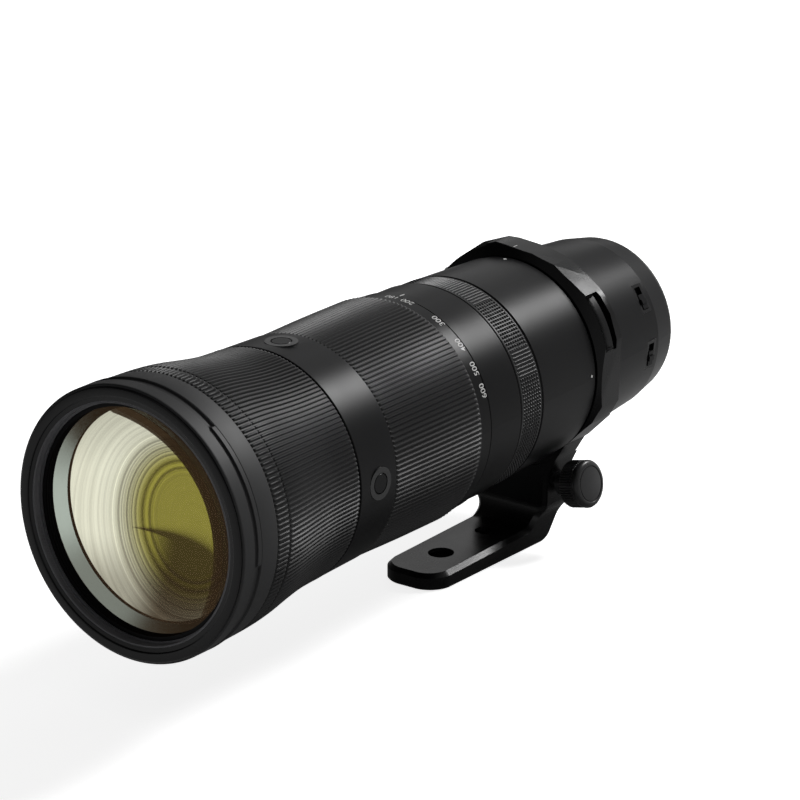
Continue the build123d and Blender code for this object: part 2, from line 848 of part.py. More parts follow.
def guide_flange():
    # front ring that centres the guide tube in the main barrel
    front = guide_front_station
    return tube(guide_r + seat_clearance, flange_r, front - guide_flange_thickness, front)


def lens_cell(station, length, glass_r):
    # sliding cell with three radial cam pins
    rear, front = station - length / 2, station + length / 2
    seat_r = glass_r + seat_clearance
    lip_r = glass_r - cell_wall / 2
    cell = turned((seat_r, rear), (cell_r, rear), (cell_r, front), (lip_r, front), (lip_r, front - cell_wall),
                  (seat_r, front - cell_wall))
    for angle in pin_angles():
        cell += radial_pin(angle, station, cam_pin_r, cell_r - cell_wall / 2, cam_barrel_r - slide_clearance)
    return cell


def variator_cell():
    return lens_cell(variator_station, variator_length, variator_glass_r)


def variator_lens():
    rear = variator_station - variator_length / 3
    front = variator_station + variator_length / 2 - cell_wall
    return glass(variator_glass_r, rear, front, cell_wall, -cell_wall)


def compensator_cell():
    return lens_cell(compensator_station, compensator_length, compensator_glass_r)


def compensator_lens():
    rear = compensator_station - compensator_length / 3
    front = compensator_station + compensator_length / 2 - cell_wall - cell_wall / 2
    return glass(compensator_glass_r, rear, front, -cell_wall / 2, cell_wall / 2)


# control ring

def control_ring():
    # slim ring with a thin raised lip at its front
    lip = control_front - control_lip_length
    low_r = control_ring_r - control_ring_step
    return turned((ring_bore_r, control_rear), (low_r - edge_break, control_rear),
                  (low_r, control_rear + edge_break), (low_r, lip), (control_ring_r, lip),
                  (control_ring_r, control_front - fine_break), (control_ring_r - fine_break, control_front),
                  (ring_bore_r, control_front))


# iris, focus group, stabiliser and rear cell

def iris_housing():
    rear, front = iris_station - iris_thickness / 2, iris_station + iris_thickness / 2
    groove = 2 * iris_blade_thickness
    groove_r = iris_bore_r + cell_wall
    return turned((iris_bore_r, rear), (flange_r, rear), (flange_r, front), (iris_bore_r, front),
                  (iris_bore_r, iris_station + groove), (groove_r, iris_station + groove),
                  (groove_r, iris_station - groove), (iris_bore_r, iris_station - groove))


def iris_blades():
    # nine thin blades that close to a nine-sided opening, side by side in the housing's groove
    outer = iris_bore_r + cell_wall - slide_clearance
    turn = 2 * pi / iris_blade_count
    gap = iris_blade_gap / outer
    plane = section(iris_station - iris_blade_thickness / 2)
    blades = []
    for k in range(iris_blade_count):
        start = k * turn
        lead = start + turn * iris_lead_share
        points = [(iris_open_r, start), (iris_open_r, start + turn - 2 * gap), (outer, lead + turn - gap),
                  (outer, lead + turn / 2), (outer, lead)]
        corners = [(r * cos(t), r * sin(t)) for r, t in points]
        blades.append(extrude(plane * make_face(Polyline(*corners, close=True)), iris_blade_thickness))
    return Compound(children=blades)


def guide_rods():
    rear = stabiliser_station + stabiliser_length / 2
    front = iris_station - iris_thickness / 2
    places = on_circle(rod_circle_r, rod_angles)
    rods = [extrude(section(rear) * Pos(x, z) * Circle(rod_r), front - rear) for x, z in places]
    return Compound(children=rods)


def focus_cell():
    # ring with two drilled ears that slide on the rods
    rear = focus_group_station - focus_cell_length / 2
    front = focus_group_station + focus_cell_length / 2
    seat_r = focus_glass_r + seat_clearance
    length = front - rear
    cell = tube(seat_r, focus_cell_r, rear, front)
    for x, z in on_circle(rod_circle_r, rod_angles):
        cell += extrude(section(rear) * Pos(x, z) * Circle(rod_ear_r), length)
    cell -= tube(0, seat_r, rear - overrun, front + overrun)
    for x, z in on_circle(rod_circle_r, rod_angles):
        hole = section(rear - overrun) * Pos(x, z) * Circle(rod_r + slide_clearance / 3)
        cell -= extrude(hole, length + 2 * overrun)
    return cell


def focus_lens():
    rear = focus_group_station - focus_cell_length / 3
    front = focus_group_station + focus_cell_length / 3
    return glass(focus_glass_r, rear, front, cell_wall / 2, -cell_wall / 2)


def focus_motor():
    # stepping motor beside the rods, standing on the stabiliser's frame
    rear = stabiliser_station + stabiliser_length / 2
    place = section(rear) * Pos(-(flange_r - motor_r - slide_clearance), 0)
    body = extrude(place * Circle(motor_r), motor_length)
    return body + extrude(place * Circle(motor_shaft_r), iris_station - iris_thickness / 2 - rear)


def stabiliser_unit():
    # fixed frame round the stabilising lens; its rim seats in the rear barrel
    rear, front = stabiliser_station - stabiliser_length / 2, stabiliser_station + stabiliser_length / 2
    return tube(stabiliser_frame_r, rear_bore_r - seat_clearance, rear, front)


def stabiliser_lens():
    rear, front = stabiliser_station - stabiliser_length / 3, stabiliser_station + stabiliser_length / 3
    return glass(stabiliser_glass_r, rear, front, -cell_wall / 2, cell_wall / 2)


def stabiliser_cell():
    rear, front = stabiliser_station - stabiliser_length / 2, stabiliser_station + stabiliser_length / 2
    return tube(stabiliser_glass_r + seat_clearance, stabiliser_frame_r - slide_clearance, rear, front)


def rear_cell():
    # long rear cell, held by its front flange in the rear barrel's tail
    front = rear_cell_rear + rear_cell_length
    bore_r = rear_glass_r + seat_clearance
    wall_r = rear_glass_r + shell_wall
    rim_r = seat_bore_r - seat_clearance
    return turned((bore_r, rear_cell_rear), (wall_r, rear_cell_rear), (wall_r, front - shell_wall),
                  (rim_r, front - shell_wall), (rim_r, front), (bore_r, front))


def rear_cell_lens():
    rear = rear_cell_rear + rear_cell_length / 4
    return glass(rear_glass_r, rear, rear + rear_cell_length / 3, -cell_wall, cell_wall)


def circuit_board():
    # ring-shaped main board on the rear cell
    inner = rear_glass_r + shell_wall + seat_clearance
    return tube(inner, end_cone_bore_r - seat_clearance, board_station, board_station + board_thickness)


# tripod collar, foot and lock

# corners of the collar's outline as (angle, share of the lug height above the plain edge)
collar_corner_shares = ((-17, 0.0), (12, 0.0), (17, 0.55), (30, 1.0), (40, 0.9), (52, 0.2), (66, 0.3),
                        (80, 0.1), (97, 0.5), (103, 1.0), (118, 1.0), (134, 1.0), (144, 0.55),
                        (156, 0.1), (168, 0.0), (197, 0.0), (208, -0.5), (213, -1.0), (226, -1.4),
                        (241, -1.1), (299, -1.1), (314, -1.4), (327, -1.0), (332, -0.5))


def collar_ring():
    # ring with two strap lugs, a pedestal for the foot, and bores for the lock screw and its shoe
    corners = [(a, collar_edge_r + collar_lug_height * share) for a, share in collar_corner_shares]
    body = extrude(section(collar_rear) * polar_outline(corners), collar_length)
    slope_start = collar_front - collar_front_slope
    limit_r = collar_lug_r + overrun
    body &= turned((0, collar_rear), (collar_lug_r - collar_chamfer, collar_rear),
                   (limit_r, collar_rear + collar_chamfer + overrun), (limit_r, slope_start - overrun),
                   (collar_edge_r + edge_break, slope_start), (collar_front_r, collar_front),
                   (0, collar_front))
    body += pedestal()
    body -= tube(0, collar_bore_r, collar_rear - overrun, collar_front + overrun)
    bar_front = collar_rear + lug_bar_depth
    slot_top_r = lug_pocket_floor_r + lug_slot_height
    for angle in lug_angles:
        body -= sector(lug_pocket_floor_r, limit_r + overrun, bar_front, collar_front - lug_lip, angle,
                       lug_pocket_turn)
        body -= sector(lug_pocket_floor_r, slot_top_r, collar_rear - overrun, bar_front + overrun, angle,
                       lug_pocket_turn)
    shoe_top = collar_bore_r - overrun
    body -= extrude(lock_plane(shoe_top) * Circle(shoe_r + slide_clearance / 2), screw_drop(0) - shoe_top)
    body -= along_lock(0, lock_screw_length + overrun, lock_screw_r + slide_clearance / 2)
    for place in foot_screw_planes():
        body -= extrude(place * Circle(foot_screw_r + seat_clearance), foot_screw_bite + seat_clearance)
    return body


def pedestal_outline(station, inset):
    # cross-section of the block under the ring, drawn in at the sides by the inset
    join = collar_edge_r * pedestal_join_share
    right = [(pedestal_half_width + pedestal_flare, join),
             (pedestal_half_width + pedestal_side_flare, pedestal_middle - pedestal_side_height),
             (pedestal_half_width, pedestal_middle), (pedestal_neck_half_width, pedestal_neck),
             (pedestal_neck_half_width, foot_bend_top), (pedestal_base_half_width, pedestal_bottom)]
    points = [(x - inset, -z) for x, z in right]
    points += [(-x, z) for x, z in reversed(points)]
    return section(station) * make_face(Polyline(*points, close=True))


def pedestal():
    # waisted block below the ring that the foot is screwed to, its front edges bevelled
    rear = knob_station - foot_back_reach
    front = rear + pedestal_length
    bevel_rear = front - pedestal_bevel
    block = extrude(pedestal_outline(rear, 0), bevel_rear - rear)
    block += loft([pedestal_outline(bevel_rear, 0), pedestal_outline(front, pedestal_bevel)], ruled=True)
    block -= tube(0, collar_edge_r + ring_gap, rear - overrun, front + overrun)
    return block + extrude(pedestal_outline(collar_rear, 0), collar_length)


def screw_drop(x):
    # depth of the lock screw's axis below the optical axis, at a given x
    return knob_drop + (knob_face_x - x) * tan(radians(knob_tilt))


def lock_plane(depth):
    # plane under the barrel, facing down, on the line of the brake shoe
    return Plane(origin=(0, -knob_station, -depth), x_dir=(1, 0, 0), z_dir=(0, 0, -1))


def brake_shoe():
    # plug between the barrel and the tip of the lock screw
    top = collar_seat_r + slide_clearance
    foot_drop = screw_drop(shoe_r) - lock_screw_r / cos(radians(knob_tilt)) - slide_clearance / 2
    shoe = extrude(lock_plane(top - overrun) * Circle(shoe_r), foot_drop - top + overrun)
    return shoe - tube(0, top, collar_rear, collar_front)


def foot_screw_planes():
    # planes at the foot's top face, facing up, on the two screw lines
    station = knob_station + foot_screw_reach
    half = foot_screw_spacing / 2
    return [Plane(origin=(x, -station, -pedestal_bottom), x_dir=(1, 0, 0), z_dir=(0, 0, 1))
            for x in (-half, half)]


def foot_profile():
    # side view as (y, z): sloping plate, swept-up blend, post and heel
    lean = foot_blend_r * (1 - sqrt(0.5))
    low = (-(foot_post_station + foot_blend_r), -(foot_rear_top + foot_slope * foot_blend_r))
    middle = (-(foot_post_station + lean), -(foot_rear_top - lean))
    high = (-foot_post_station, -(foot_rear_top - foot_blend_r))
    front_top = (-foot_front_station, -foot_front_top)
    corners = Polyline(front_top, (-foot_front_station, -foot_bottom), (-foot_heel_station, -foot_bottom),
                       (-foot_back_station, -foot_back_bottom), (-foot_back_station, -pedestal_bottom),
                       (-foot_post_station, -pedestal_bottom), high)
    return make_face(Curve() + [corners, ThreePointArc(high, middle, low), Line(low, front_top)])


def foot_width():
    # front view as (x, z): straight sides at the plate that curve out to the width of the pedestal
    narrow, wide = foot_half_width, pedestal_neck_half_width
    low, high = -foot_bend_low, -foot_bend_top
    bottom, top = -(foot_bottom + overrun), high + overrun
    edges = [Line((-narrow, bottom), (narrow, bottom)), Line((-wide, top), (wide, top))]
    for side in (-1, 1):
        bend = (side * (narrow + wide) / 2, (low + high) / 2)
        edges += [Line((side * narrow, bottom), (side * narrow, low)),
                  TangentArc((side * narrow, low), bend, tangent=(0, 1)),
                  TangentArc((side * wide, high), bend, tangent=(0, -1)),
                  Line((side * wide, high), (side * wide, top))]
    return make_face(Curve() + edges)


def upper_rim(body):
    # outline of the plate's top, the blend and the front of the post, without the post's top edge
    upper = []
    for face in body.faces():
        normal, centre = face.normal_at(), face.center()
        joint = centre.Z > -pedestal_bottom - edge_break
        if not joint and (normal.Z > 0.5 or (normal.Y < -0.9 and centre.Z > -foot_rear_top)):
            upper.append(face)
    edges = [edge for face in upper for edge in face.edges()]
    middles = [edge.center() for edge in edges]
    rim = []
    for edge, at in zip(edges, middles):
        shared = sum((at - other).length < fine_break / 2 for other in middles) > 1
        if not shared and at.Z < -pedestal_bottom - fine_break / 2:
            rim.append(edge)
    return rim


def foot():
    # one-piece foot: plate, blend and post, with bevelled upper edges and a rounded heel
    side = Plane(origin=(-pedestal_half_width, 0, 0), x_dir=(0, 1, 0), z_dir=(1, 0, 0))
    body = extrude(side * foot_profile(), 2 * pedestal_half_width)
    length = foot_front_station - foot_back_station + 2 * overrun
    body &= extrude(section(foot_back_station - overrun) * foot_width(), length)
    body = fillet(body.edges().filter_by(Axis.Z).group_by(Axis.Y)[0], foot_corner_r)
    heel = body.edges().filter_by(Axis.X).group_by(Axis.Z)[0].sort_by(Axis.Y)[-1]
    body = fillet([heel], foot_heel_r)
    body = chamfer(upper_rim(body), foot_bevel)
    under = body.faces().sort_by(Axis.Z)[0].outer_wire().edges()
    rear_edge = under.sort_by(Axis.Y)[-1]
    body = chamfer([edge for edge in under if edge != rear_edge], foot_chamfer)
    for station, r in ((large_thread_station, large_thread_r), (small_thread_station, small_thread_r)):
        body -= threaded_hole(station, r)
    depth = foot_bottom - pedestal_bottom
    for place in foot_screw_planes():
        hole = place.offset(-depth - overrun)
        body -= extrude(hole * Circle(foot_screw_r + seat_clearance), depth + 2 * overrun)
        body -= extrude(hole * Circle(foot_screw_head_r + seat_clearance), depth - foot_screw_grip + overrun)
    return body


def threaded_hole(station, radius):
    # through hole in the plate, opened out a little at its upper mouth
    mouth = foot_rear_top + foot_slope * (station - foot_post_station) + thread_step
    hole = Plane(origin=(0, -station, -(foot_bottom + overrun)), x_dir=(1, 0, 0), z_dir=(0, 0, 1))
    rim = Plane(origin=(0, -station, -mouth), x_dir=(1, 0, 0), z_dir=(0, 0, 1))
    return (extrude(hole * Circle(radius), foot_bottom - foot_rear_top + 2 * overrun)
            + extrude(rim * Circle(radius + thread_chamfer), 2 * thread_step + overrun))


def foot_screws():
    # two socket-head screws, up through the post into the pedestal
    screws = []
    for place in foot_screw_planes():
        under = place.offset(-foot_screw_grip - foot_screw_head_depth)
        seat = place.offset(-foot_screw_grip)
        shank = extrude(seat * Circle(foot_screw_r), foot_screw_grip + foot_screw_bite)
        head = extrude(under * Circle(foot_screw_head_r), foot_screw_head_depth)
        socket = extrude(under * RegularPolygon(foot_screw_r, screw_socket_sides), foot_screw_head_depth / 2)
        screws.append(shank + head - socket)
    return Compound(children=screws)


def lock_frame():
    # frame at the centre of the knob's face, its z along the knob's axis
    tilt = radians(knob_tilt)
    return Plane(origin=(knob_face_x, -knob_station, -knob_drop), x_dir=(0, 1, 0),
                 z_dir=(cos(tilt), 0, sin(tilt)))


def along_lock(start, end, radius):
    # cylinder on the knob's axis, between two depths below the knob's face
    return extrude(lock_frame().offset(-end) * Circle(radius), end - start)


def knob_turned(points):
    # revolve (radius, depth below the knob's face) pairs about the knob's axis
    frame = lock_frame()
    profile = Plane(origin=frame.origin, x_dir=frame.x_dir, z_dir=-frame.y_dir)
    outline = profile * make_face(Polyline(*[(r, -depth) for r, depth in points], close=True))
    return revolve(outline, Axis(frame.origin, frame.z_dir))


def lock_knob():
    # round knob with a grooved rim and a slim neck
    bore = lock_screw_r + seat_clearance
    neck_end = knob_length + knob_neck_length
    groove = knob_groove_inset
    floor = knob_length - knob_edge
    return knob_turned([(bore, neck_end), (knob_neck_r, neck_end), (knob_neck_r, knob_length),
                        (knob_r - knob_edge, knob_length), (knob_r, floor), (knob_r, groove + knob_edge),
                        (knob_r - knob_edge / 2, groove), (knob_r, groove - knob_edge / 2),
                        (knob_r, knob_edge),
                        (knob_r - knob_edge, 0), (0, 0), (0, floor), (bore, floor)])


def lock_screw():
    # threaded rod fixed in the knob, with a conical tip under the brake shoe
    tip = lock_screw_length - lock_screw_r
    return knob_turned([(0, lock_screw_length), (lock_screw_r, tip), (lock_screw_r, knob_length),
                        (0, knob_length)])


# camera mount

def mount_plate():
    # flange, bayonet tube and four claws, with holes for the mount screws
    plate = turned((throat_r, -bayonet_length), (bayonet_r, -bayonet_length), (bayonet_r, 0),
                   (mount_outer_r - fine_break, 0), (mount_outer_r, fine_break),
                   (mount_outer_r, flange_thickness), (throat_r, flange_thickness))
    for k in range(claw_count):
        plate += sector(bayonet_r - fine_break, claw_r, -bayonet_length, claw_thickness - bayonet_length,
                        360 * k / claw_count + claw_turn / 2, claw_turn)
    for x, z in screw_places():
        hole = section(-overrun) * Pos(x, z)
        plate -= extrude(hole * Circle(mount_screw_r + seat_clearance), flange_thickness + 2 * overrun)
        plate -= extrude(hole * Circle(mount_screw_head_r + seat_clearance), flange_thickness / 2 + overrun)
    return plate


def screw_places():
    angles = [mount_screw_angle + 360 * k / mount_screw_count for k in range(mount_screw_count)]
    return on_circle(mount_screw_circle_r, angles)


def mount_screws():
    screws = []
    for x, z in screw_places():
        head = extrude(section(seat_clearance) * Pos(x, z) * Circle(mount_screw_head_r),
                       flange_thickness / 2 - seat_clearance)
        shank = extrude(section(flange_thickness / 2) * Pos(x, z) * Circle(mount_screw_r), mount_screw_length)
        screws.append(head + shank)
    return Compound(children=screws)


def mount_gasket():
    # rubber weather seal round the flange
    rim = end_barrel_rear_r - edge_break
    return tube(mount_outer_r + seat_clearance, rim, flange_thickness - gasket_r, flange_thickness)


def rear_baffle():
    # blackened plate with a rectangular light gate, inside the bayonet tube
    opening = Rectangle(2 * baffle_half_width, 2 * baffle_half_height)
    gate = extrude(section(-baffle_thickness - overrun) * opening, baffle_thickness + 2 * overrun)
    return tube(0, throat_seat_r, -baffle_thickness, 0) - gate


def contact_block():
    # curved block low in the throat that carries the contact pins
    turn = contact_pitch_turn * (contact_count + 1)
    inner = throat_seat_r - contact_block_depth
    return sector(inner, throat_seat_r, -bayonet_length, -baffle_thickness, contact_angle, turn)


def contact_pins():
    # row of small eight-sided pins that stand out of the block
    first = contact_angle - contact_pitch_turn * (contact_count - 1) / 2
    angles = [first + contact_pitch_turn * k for k in range(contact_count)]
    pins = []
    for x, z in on_circle(throat_seat_r - contact_block_depth / 2, angles):
        place = section(-bayonet_length) * Pos(x, z)
        pins.append(extrude(place * RegularPolygon(contact_r, contact_sides), -contact_height))
    return Compound(children=pins)


def rear_element():
    rear = flange_thickness
    return glass(rear_element_r, rear, rear + rear_element_length, cell_wall / 2, cell_wall)


def rear_lens_frame():
    # ring that holds the rear element inside the mount
    bore_r = rear_element_r + seat_clearance
    rim_r = mount_bore_r - seat_clearance
    front = flange_thickness + rear_element_length
    return turned((bore_r, 0), (throat_seat_r, 0), (throat_seat_r, flange_thickness),
                  (rim_r, flange_thickness), (rim_r, front), (bore_r, front))


nodes = {
    "front_filter_ring": front_filter_ring, "hood_bayonet_ring": hood_bayonet_ring, "name_ring": name_ring,
    "front_element": front_element, "front_retainer": front_retainer, "second_element": second_element,
    "front_tube": front_tube, "focus_sleeve": focus_sleeve, "focus_grip": focus_grip,
    "button_band": button_band, "button_bezels": button_bezels, "main_barrel": main_barrel,
    "mid_barrel": mid_barrel, "rear_barrel": rear_barrel, "end_barrel": end_barrel,
    "switch_plates": switch_plates, "zoom_sleeve": zoom_sleeve, "zoom_grip": zoom_grip,
    "scale_band": scale_band, "zoom_key": zoom_key, "cam_barrel": cam_barrel, "guide_tube": guide_tube,
    "guide_flange": guide_flange, "variator_cell": variator_cell, "variator_lens": variator_lens,
    "compensator_cell": compensator_cell, "compensator_lens": compensator_lens,
    "control_ring": control_ring, "iris_housing": iris_housing, "iris_blades": iris_blades,
    "guide_rods": guide_rods, "focus_cell": focus_cell, "focus_lens": focus_lens,
    "focus_motor": focus_motor, "stabiliser_unit": stabiliser_unit, "stabiliser_cell": stabiliser_cell,
    "stabiliser_lens": stabiliser_lens, "rear_cell": rear_cell, "rear_cell_lens": rear_cell_lens,
    "collar_ring": collar_ring, "brake_shoe": brake_shoe, "foot": foot, "foot_screws": foot_screws,
    "lock_knob": lock_knob, "lock_screw": lock_screw, "mount_plate": mount_plate,
    "mount_screws": mount_screws, "mount_gasket": mount_gasket, "rear_baffle": rear_baffle,
    "contact_block": contact_block, "contact_pins": contact_pins, "rear_element": rear_element,
    "rear_lens_frame": rear_lens_frame, "circuit_board": circuit_board,
}

os.makedirs("parts", exist_ok=True)
for name, make in nodes.items():
    export_step(make(), f"parts/{name}.step")
for k, angle in enumerate(button_angles()):
    export_step(button(angle), f"parts/fn_button_{k + 1}.step")
for name, angle in zip(("focus_mode_switch", "limit_switch"), switch_angles):
    export_step(switch_slider(angle), f"parts/{name}.step")
print("pieces written:", len(nodes) + button_count + len(switch_angles))
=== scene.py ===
import bpy
import bmesh
import math
import numpy as np
from mathutils import Matrix, Vector


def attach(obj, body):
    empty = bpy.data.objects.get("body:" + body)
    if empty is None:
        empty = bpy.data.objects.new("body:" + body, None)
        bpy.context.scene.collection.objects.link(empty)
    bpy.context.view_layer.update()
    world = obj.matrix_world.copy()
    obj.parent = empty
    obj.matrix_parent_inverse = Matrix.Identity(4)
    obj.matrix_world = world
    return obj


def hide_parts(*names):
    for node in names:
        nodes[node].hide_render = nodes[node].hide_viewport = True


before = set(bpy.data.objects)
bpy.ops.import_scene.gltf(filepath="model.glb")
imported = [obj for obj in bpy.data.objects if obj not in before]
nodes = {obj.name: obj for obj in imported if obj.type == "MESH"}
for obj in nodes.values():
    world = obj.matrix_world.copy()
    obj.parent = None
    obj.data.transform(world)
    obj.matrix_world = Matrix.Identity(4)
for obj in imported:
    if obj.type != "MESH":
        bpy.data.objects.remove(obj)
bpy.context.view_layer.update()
mm = 0.001  # every size below is in millimetres, meshes are in metres

# mesh helpers


def newPiece(name, mesh):
    # object at the origin that carries a mesh, a curve, a light or a camera
    piece = bpy.data.objects.new(name, mesh)
    bpy.context.scene.collection.objects.link(piece)
    return piece


def editMesh(mesh, *steps):
    # runs bmesh steps one after the other on a mesh
    work = bmesh.new()
    work.from_mesh(mesh)
    for step in steps:
        step(work)
    work.to_mesh(mesh)
    work.free()


def placeMesh(name, points, faces, body, crease=32.0):
    # puts finished points (in mm) and faces into an object at the origin, smooth but sharp past the crease
    # angle
    mesh = bpy.data.meshes.new(name)
    mesh.from_pydata((np.asarray(points) * mm).tolist(), [], faces)
    mesh.update()
    mesh.polygons.foreach_set("use_smooth", np.ones(len(mesh.polygons), bool))
    mesh.set_sharp_from_angle(angle=math.radians(crease))
    piece = newPiece(name, mesh)
    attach(piece, body)
    return piece


def gridFaces(rows, columns):
    # quads of a grid of rows x columns points, wrapped round in both directions
    a, b = np.meshgrid(np.arange(rows), np.arange(columns), indexing="ij")
    a2, b2 = (a + 1) % rows, (b + 1) % columns
    quads = np.stack([a * columns + b, a * columns + b2, a2 * columns + b2, a2 * columns + b], -1)
    return quads.reshape(-1, 4)


def softenOutline(outline, radii, steps=4):
    # each corner of a closed outline becomes a short arc: points between corner +- radius along both sides,
    # blended by a quadratic curve with the corner as its middle control point
    points = np.asarray(outline, float)
    count = len(points)
    result = []
    for k, radius in enumerate(radii):
        corner = points[k]
        before, after = points[k - 1] - corner, points[(k + 1) % count] - corner
        reach = min(radius, 0.48 * np.linalg.norm(before), 0.48 * np.linalg.norm(after))
        if reach < 0.01:
            result.append(corner)
            continue
        start = corner + before / np.linalg.norm(before) * reach
        end = corner + after / np.linalg.norm(after) * reach
        for t in np.linspace(0, 1, steps):
            result.append(start * (1 - t) ** 2 + corner * 2 * t * (1 - t) + end * t ** 2)
    return np.array(result)


lensAxis = Matrix(((1, 0, 0, 0), (0, 0, -1, 0), (0, 1, 0, 0), (0, 0, 0, 1)))


def spinOutline(name, outline, body, segments=288, relief=None, crease=32.0, place=lensAxis):
    # closed (radius, height) outline spun about the z axis of a placed frame: (r cos a, r sin a, height);
    # in the lens's own frame the height is the station s, so x = r cos a, y = -s, z = r sin a;
    # relief(angle, radius, height) gives a new radius for every grid point
    outline = np.asarray(outline, float)
    x, y = outline[:, 0], outline[:, 1]
    area = 0.5 * np.sum(x * np.roll(y, -1) - np.roll(x, -1) * y)
    angles = np.arange(segments) * 2 * np.pi / segments
    a, r = np.meshgrid(angles, x, indexing="ij")
    h = np.broadcast_to(y, a.shape)
    if relief is not None:
        r = relief(a, r, h)
    local = np.stack([r * np.cos(a), r * np.sin(a), h, np.ones_like(r)], -1).reshape(-1, 4)
    points = (local @ np.array(place).T)[:, :3]
    quads = gridFaces(segments, len(outline))
    faces = (quads[:, ::-1] if area > 0 else quads).tolist()
    return placeMesh(name, points, faces, body, crease)


def bar(x, low, high, edge):
    # 1 inside the span from low to high, easing to 0 over the edge width on both sides
    up = np.clip((x - low) / edge + 0.5, 0, 1)
    down = np.clip((high - x) / edge + 0.5, 0, 1)
    return (up * up * (3 - 2 * up)) * (down * down * (3 - 2 * down))


def weldedCopy(name, node, body, bevel):
    # copy of a CAD node with its loose triangles merged, flat faces joined and edges rounded
    mesh = nodes[node].data.copy()
    mesh.name = name
    editMesh(mesh, lambda work: bmesh.ops.remove_doubles(work, verts=work.verts, dist=1e-6),
             lambda work: bmesh.ops.dissolve_limit(work, angle_limit=math.radians(2.0), verts=work.verts,
                                                   edges=work.edges))
    mesh.materials.clear()
    if mesh.has_custom_normals:
        mesh.attributes.remove(mesh.attributes["custom_normal"])
    mesh.polygons.foreach_set("use_smooth", np.ones(len(mesh.polygons), bool))
    piece = newPiece(name, mesh)
    rounding = piece.modifiers.new("edges", "BEVEL")
    rounding.width = bevel * mm
    rounding.segments = 3
    rounding.limit_method = "ANGLE"
    rounding.angle_limit = math.radians(28.0)
    rounding.harden_normals = True
    rounding.use_clamp_overlap = True
    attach(piece, body)
    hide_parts(node)
    return piece


print("helpers ready")

# materials


def newGroup(name, inputs, outputs):
    group = bpy.data.node_groups.new(name, "ShaderNodeTree")
    for direction, sockets in (("INPUT", inputs), ("OUTPUT", outputs)):
        for label, kind in sockets:
            group.interface.new_socket(label, in_out=direction, socket_type=kind)
    return group, group.nodes.new("NodeGroupInput"), group.nodes.new("NodeGroupOutput")


def addNode(tree, kind, settings=None, inputs=None):
    # new shader node with its settings and the values of its unlinked inputs
    node = tree.nodes.new(kind)
    for key, value in (settings or {}).items():
        setattr(node, key, value)
    for key, value in (inputs or {}).items():
        node.inputs[key].default_value = value
    return node


def newMaterial(name, bare=False):
    # material with nodes; a bare one starts without the usual shader
    material = bpy.data.materials.new(name)
    material.use_nodes = True
    if bare:
        material.node_tree.nodes.clear()
    return material, material.node_tree


def smoothRange(tree, low, high, lowValue, highValue):
    # map range that eases from one value to the other
    return addNode(tree, "ShaderNodeMapRange", {"interpolation_type": "SMOOTHSTEP"},
                   {"From Min": low, "From Max": high, "To Min": lowValue, "To Max": highValue})


def buildGrainGroup():
    # fine moulded grain: one noise makes the height, a slow one varies colour and gloss
    number, tint = "NodeSocketFloat", "NodeSocketColor"
    group, start, end = newGroup(
        "mouldedGrain", [("Vector", "NodeSocketVector"), ("Grain Scale", number), ("Tone", tint),
                         ("Tone Shift", number), ("Rough Low", number), ("Rough High", number)],
        [("Color", tint), ("Roughness", number), ("Height", number)])
    link = group.links.new
    fine = addNode(group, "ShaderNodeTexNoise", inputs={"Detail": 2.0, "Roughness": 0.6})
    slow = addNode(group, "ShaderNodeTexNoise", inputs={"Scale": 28.0, "Detail": 4.0, "Roughness": 0.55})
    link(start.outputs["Vector"], fine.inputs["Vector"])
    link(start.outputs["Vector"], slow.inputs["Vector"])
    link(start.outputs["Grain Scale"], fine.inputs["Scale"])
    rough = addNode(group, "ShaderNodeMapRange", inputs={"From Min": 0.3, "From Max": 0.7})
    link(slow.outputs["Fac"], rough.inputs["Value"])
    link(start.outputs["Rough Low"], rough.inputs["To Min"])
    link(start.outputs["Rough High"], rough.inputs["To Max"])
    lighter = addNode(group, "ShaderNodeMix", {"data_type": "RGBA", "blend_type": "MULTIPLY"})
    shade = addNode(group, "ShaderNodeMapRange",
                    inputs={"From Min": 0.3, "From Max": 0.7, "To Min": 0.75, "To Max": 1.25})
    link(slow.outputs["Fac"], shade.inputs["Value"])
    link(start.outputs["Tone Shift"], lighter.inputs[0])
    link(start.outputs["Tone"], lighter.inputs[6])
    link(shade.outputs["Result"], lighter.inputs[7])
    link(lighter.outputs[2], end.inputs["Color"])
    link(rough.outputs["Result"], end.inputs["Roughness"])
    link(fine.outputs["Fac"], end.inputs["Height"])
    return group


grainGroup = buildGrainGroup()


def grainMaterial(name, tone, roughness, scale, depth, shift=0.25, metallic=0.0, specular=0.5):
    # moulded or painted surface: tone, gloss and relief vary through the shared grain group
    material, tree = newMaterial(name)
    shader = tree.nodes["Principled BSDF"]
    place = addNode(tree, "ShaderNodeTexCoord")
    grain = addNode(tree, "ShaderNodeGroup", {"node_tree": grainGroup},
                    {"Grain Scale": scale, "Tone": (*tone, 1), "Tone Shift": shift,
                     "Rough Low": roughness[0], "Rough High": roughness[1]})
    bump = addNode(tree, "ShaderNodeBump", inputs={"Strength": 0.6, "Distance": depth * mm})
    link = tree.links.new
    link(place.outputs["Object"], grain.inputs["Vector"])
    link(grain.outputs["Color"], shader.inputs["Base Color"])
    link(grain.outputs["Roughness"], shader.inputs["Roughness"])
    link(grain.outputs["Height"], bump.inputs["Height"])
    link(bump.outputs["Normal"], shader.inputs["Normal"])
    shader.inputs["Metallic"].default_value = metallic
    shader.inputs["Specular IOR Level"].default_value = specular
    material.diffuse_color = (*tone, 1)
    return material


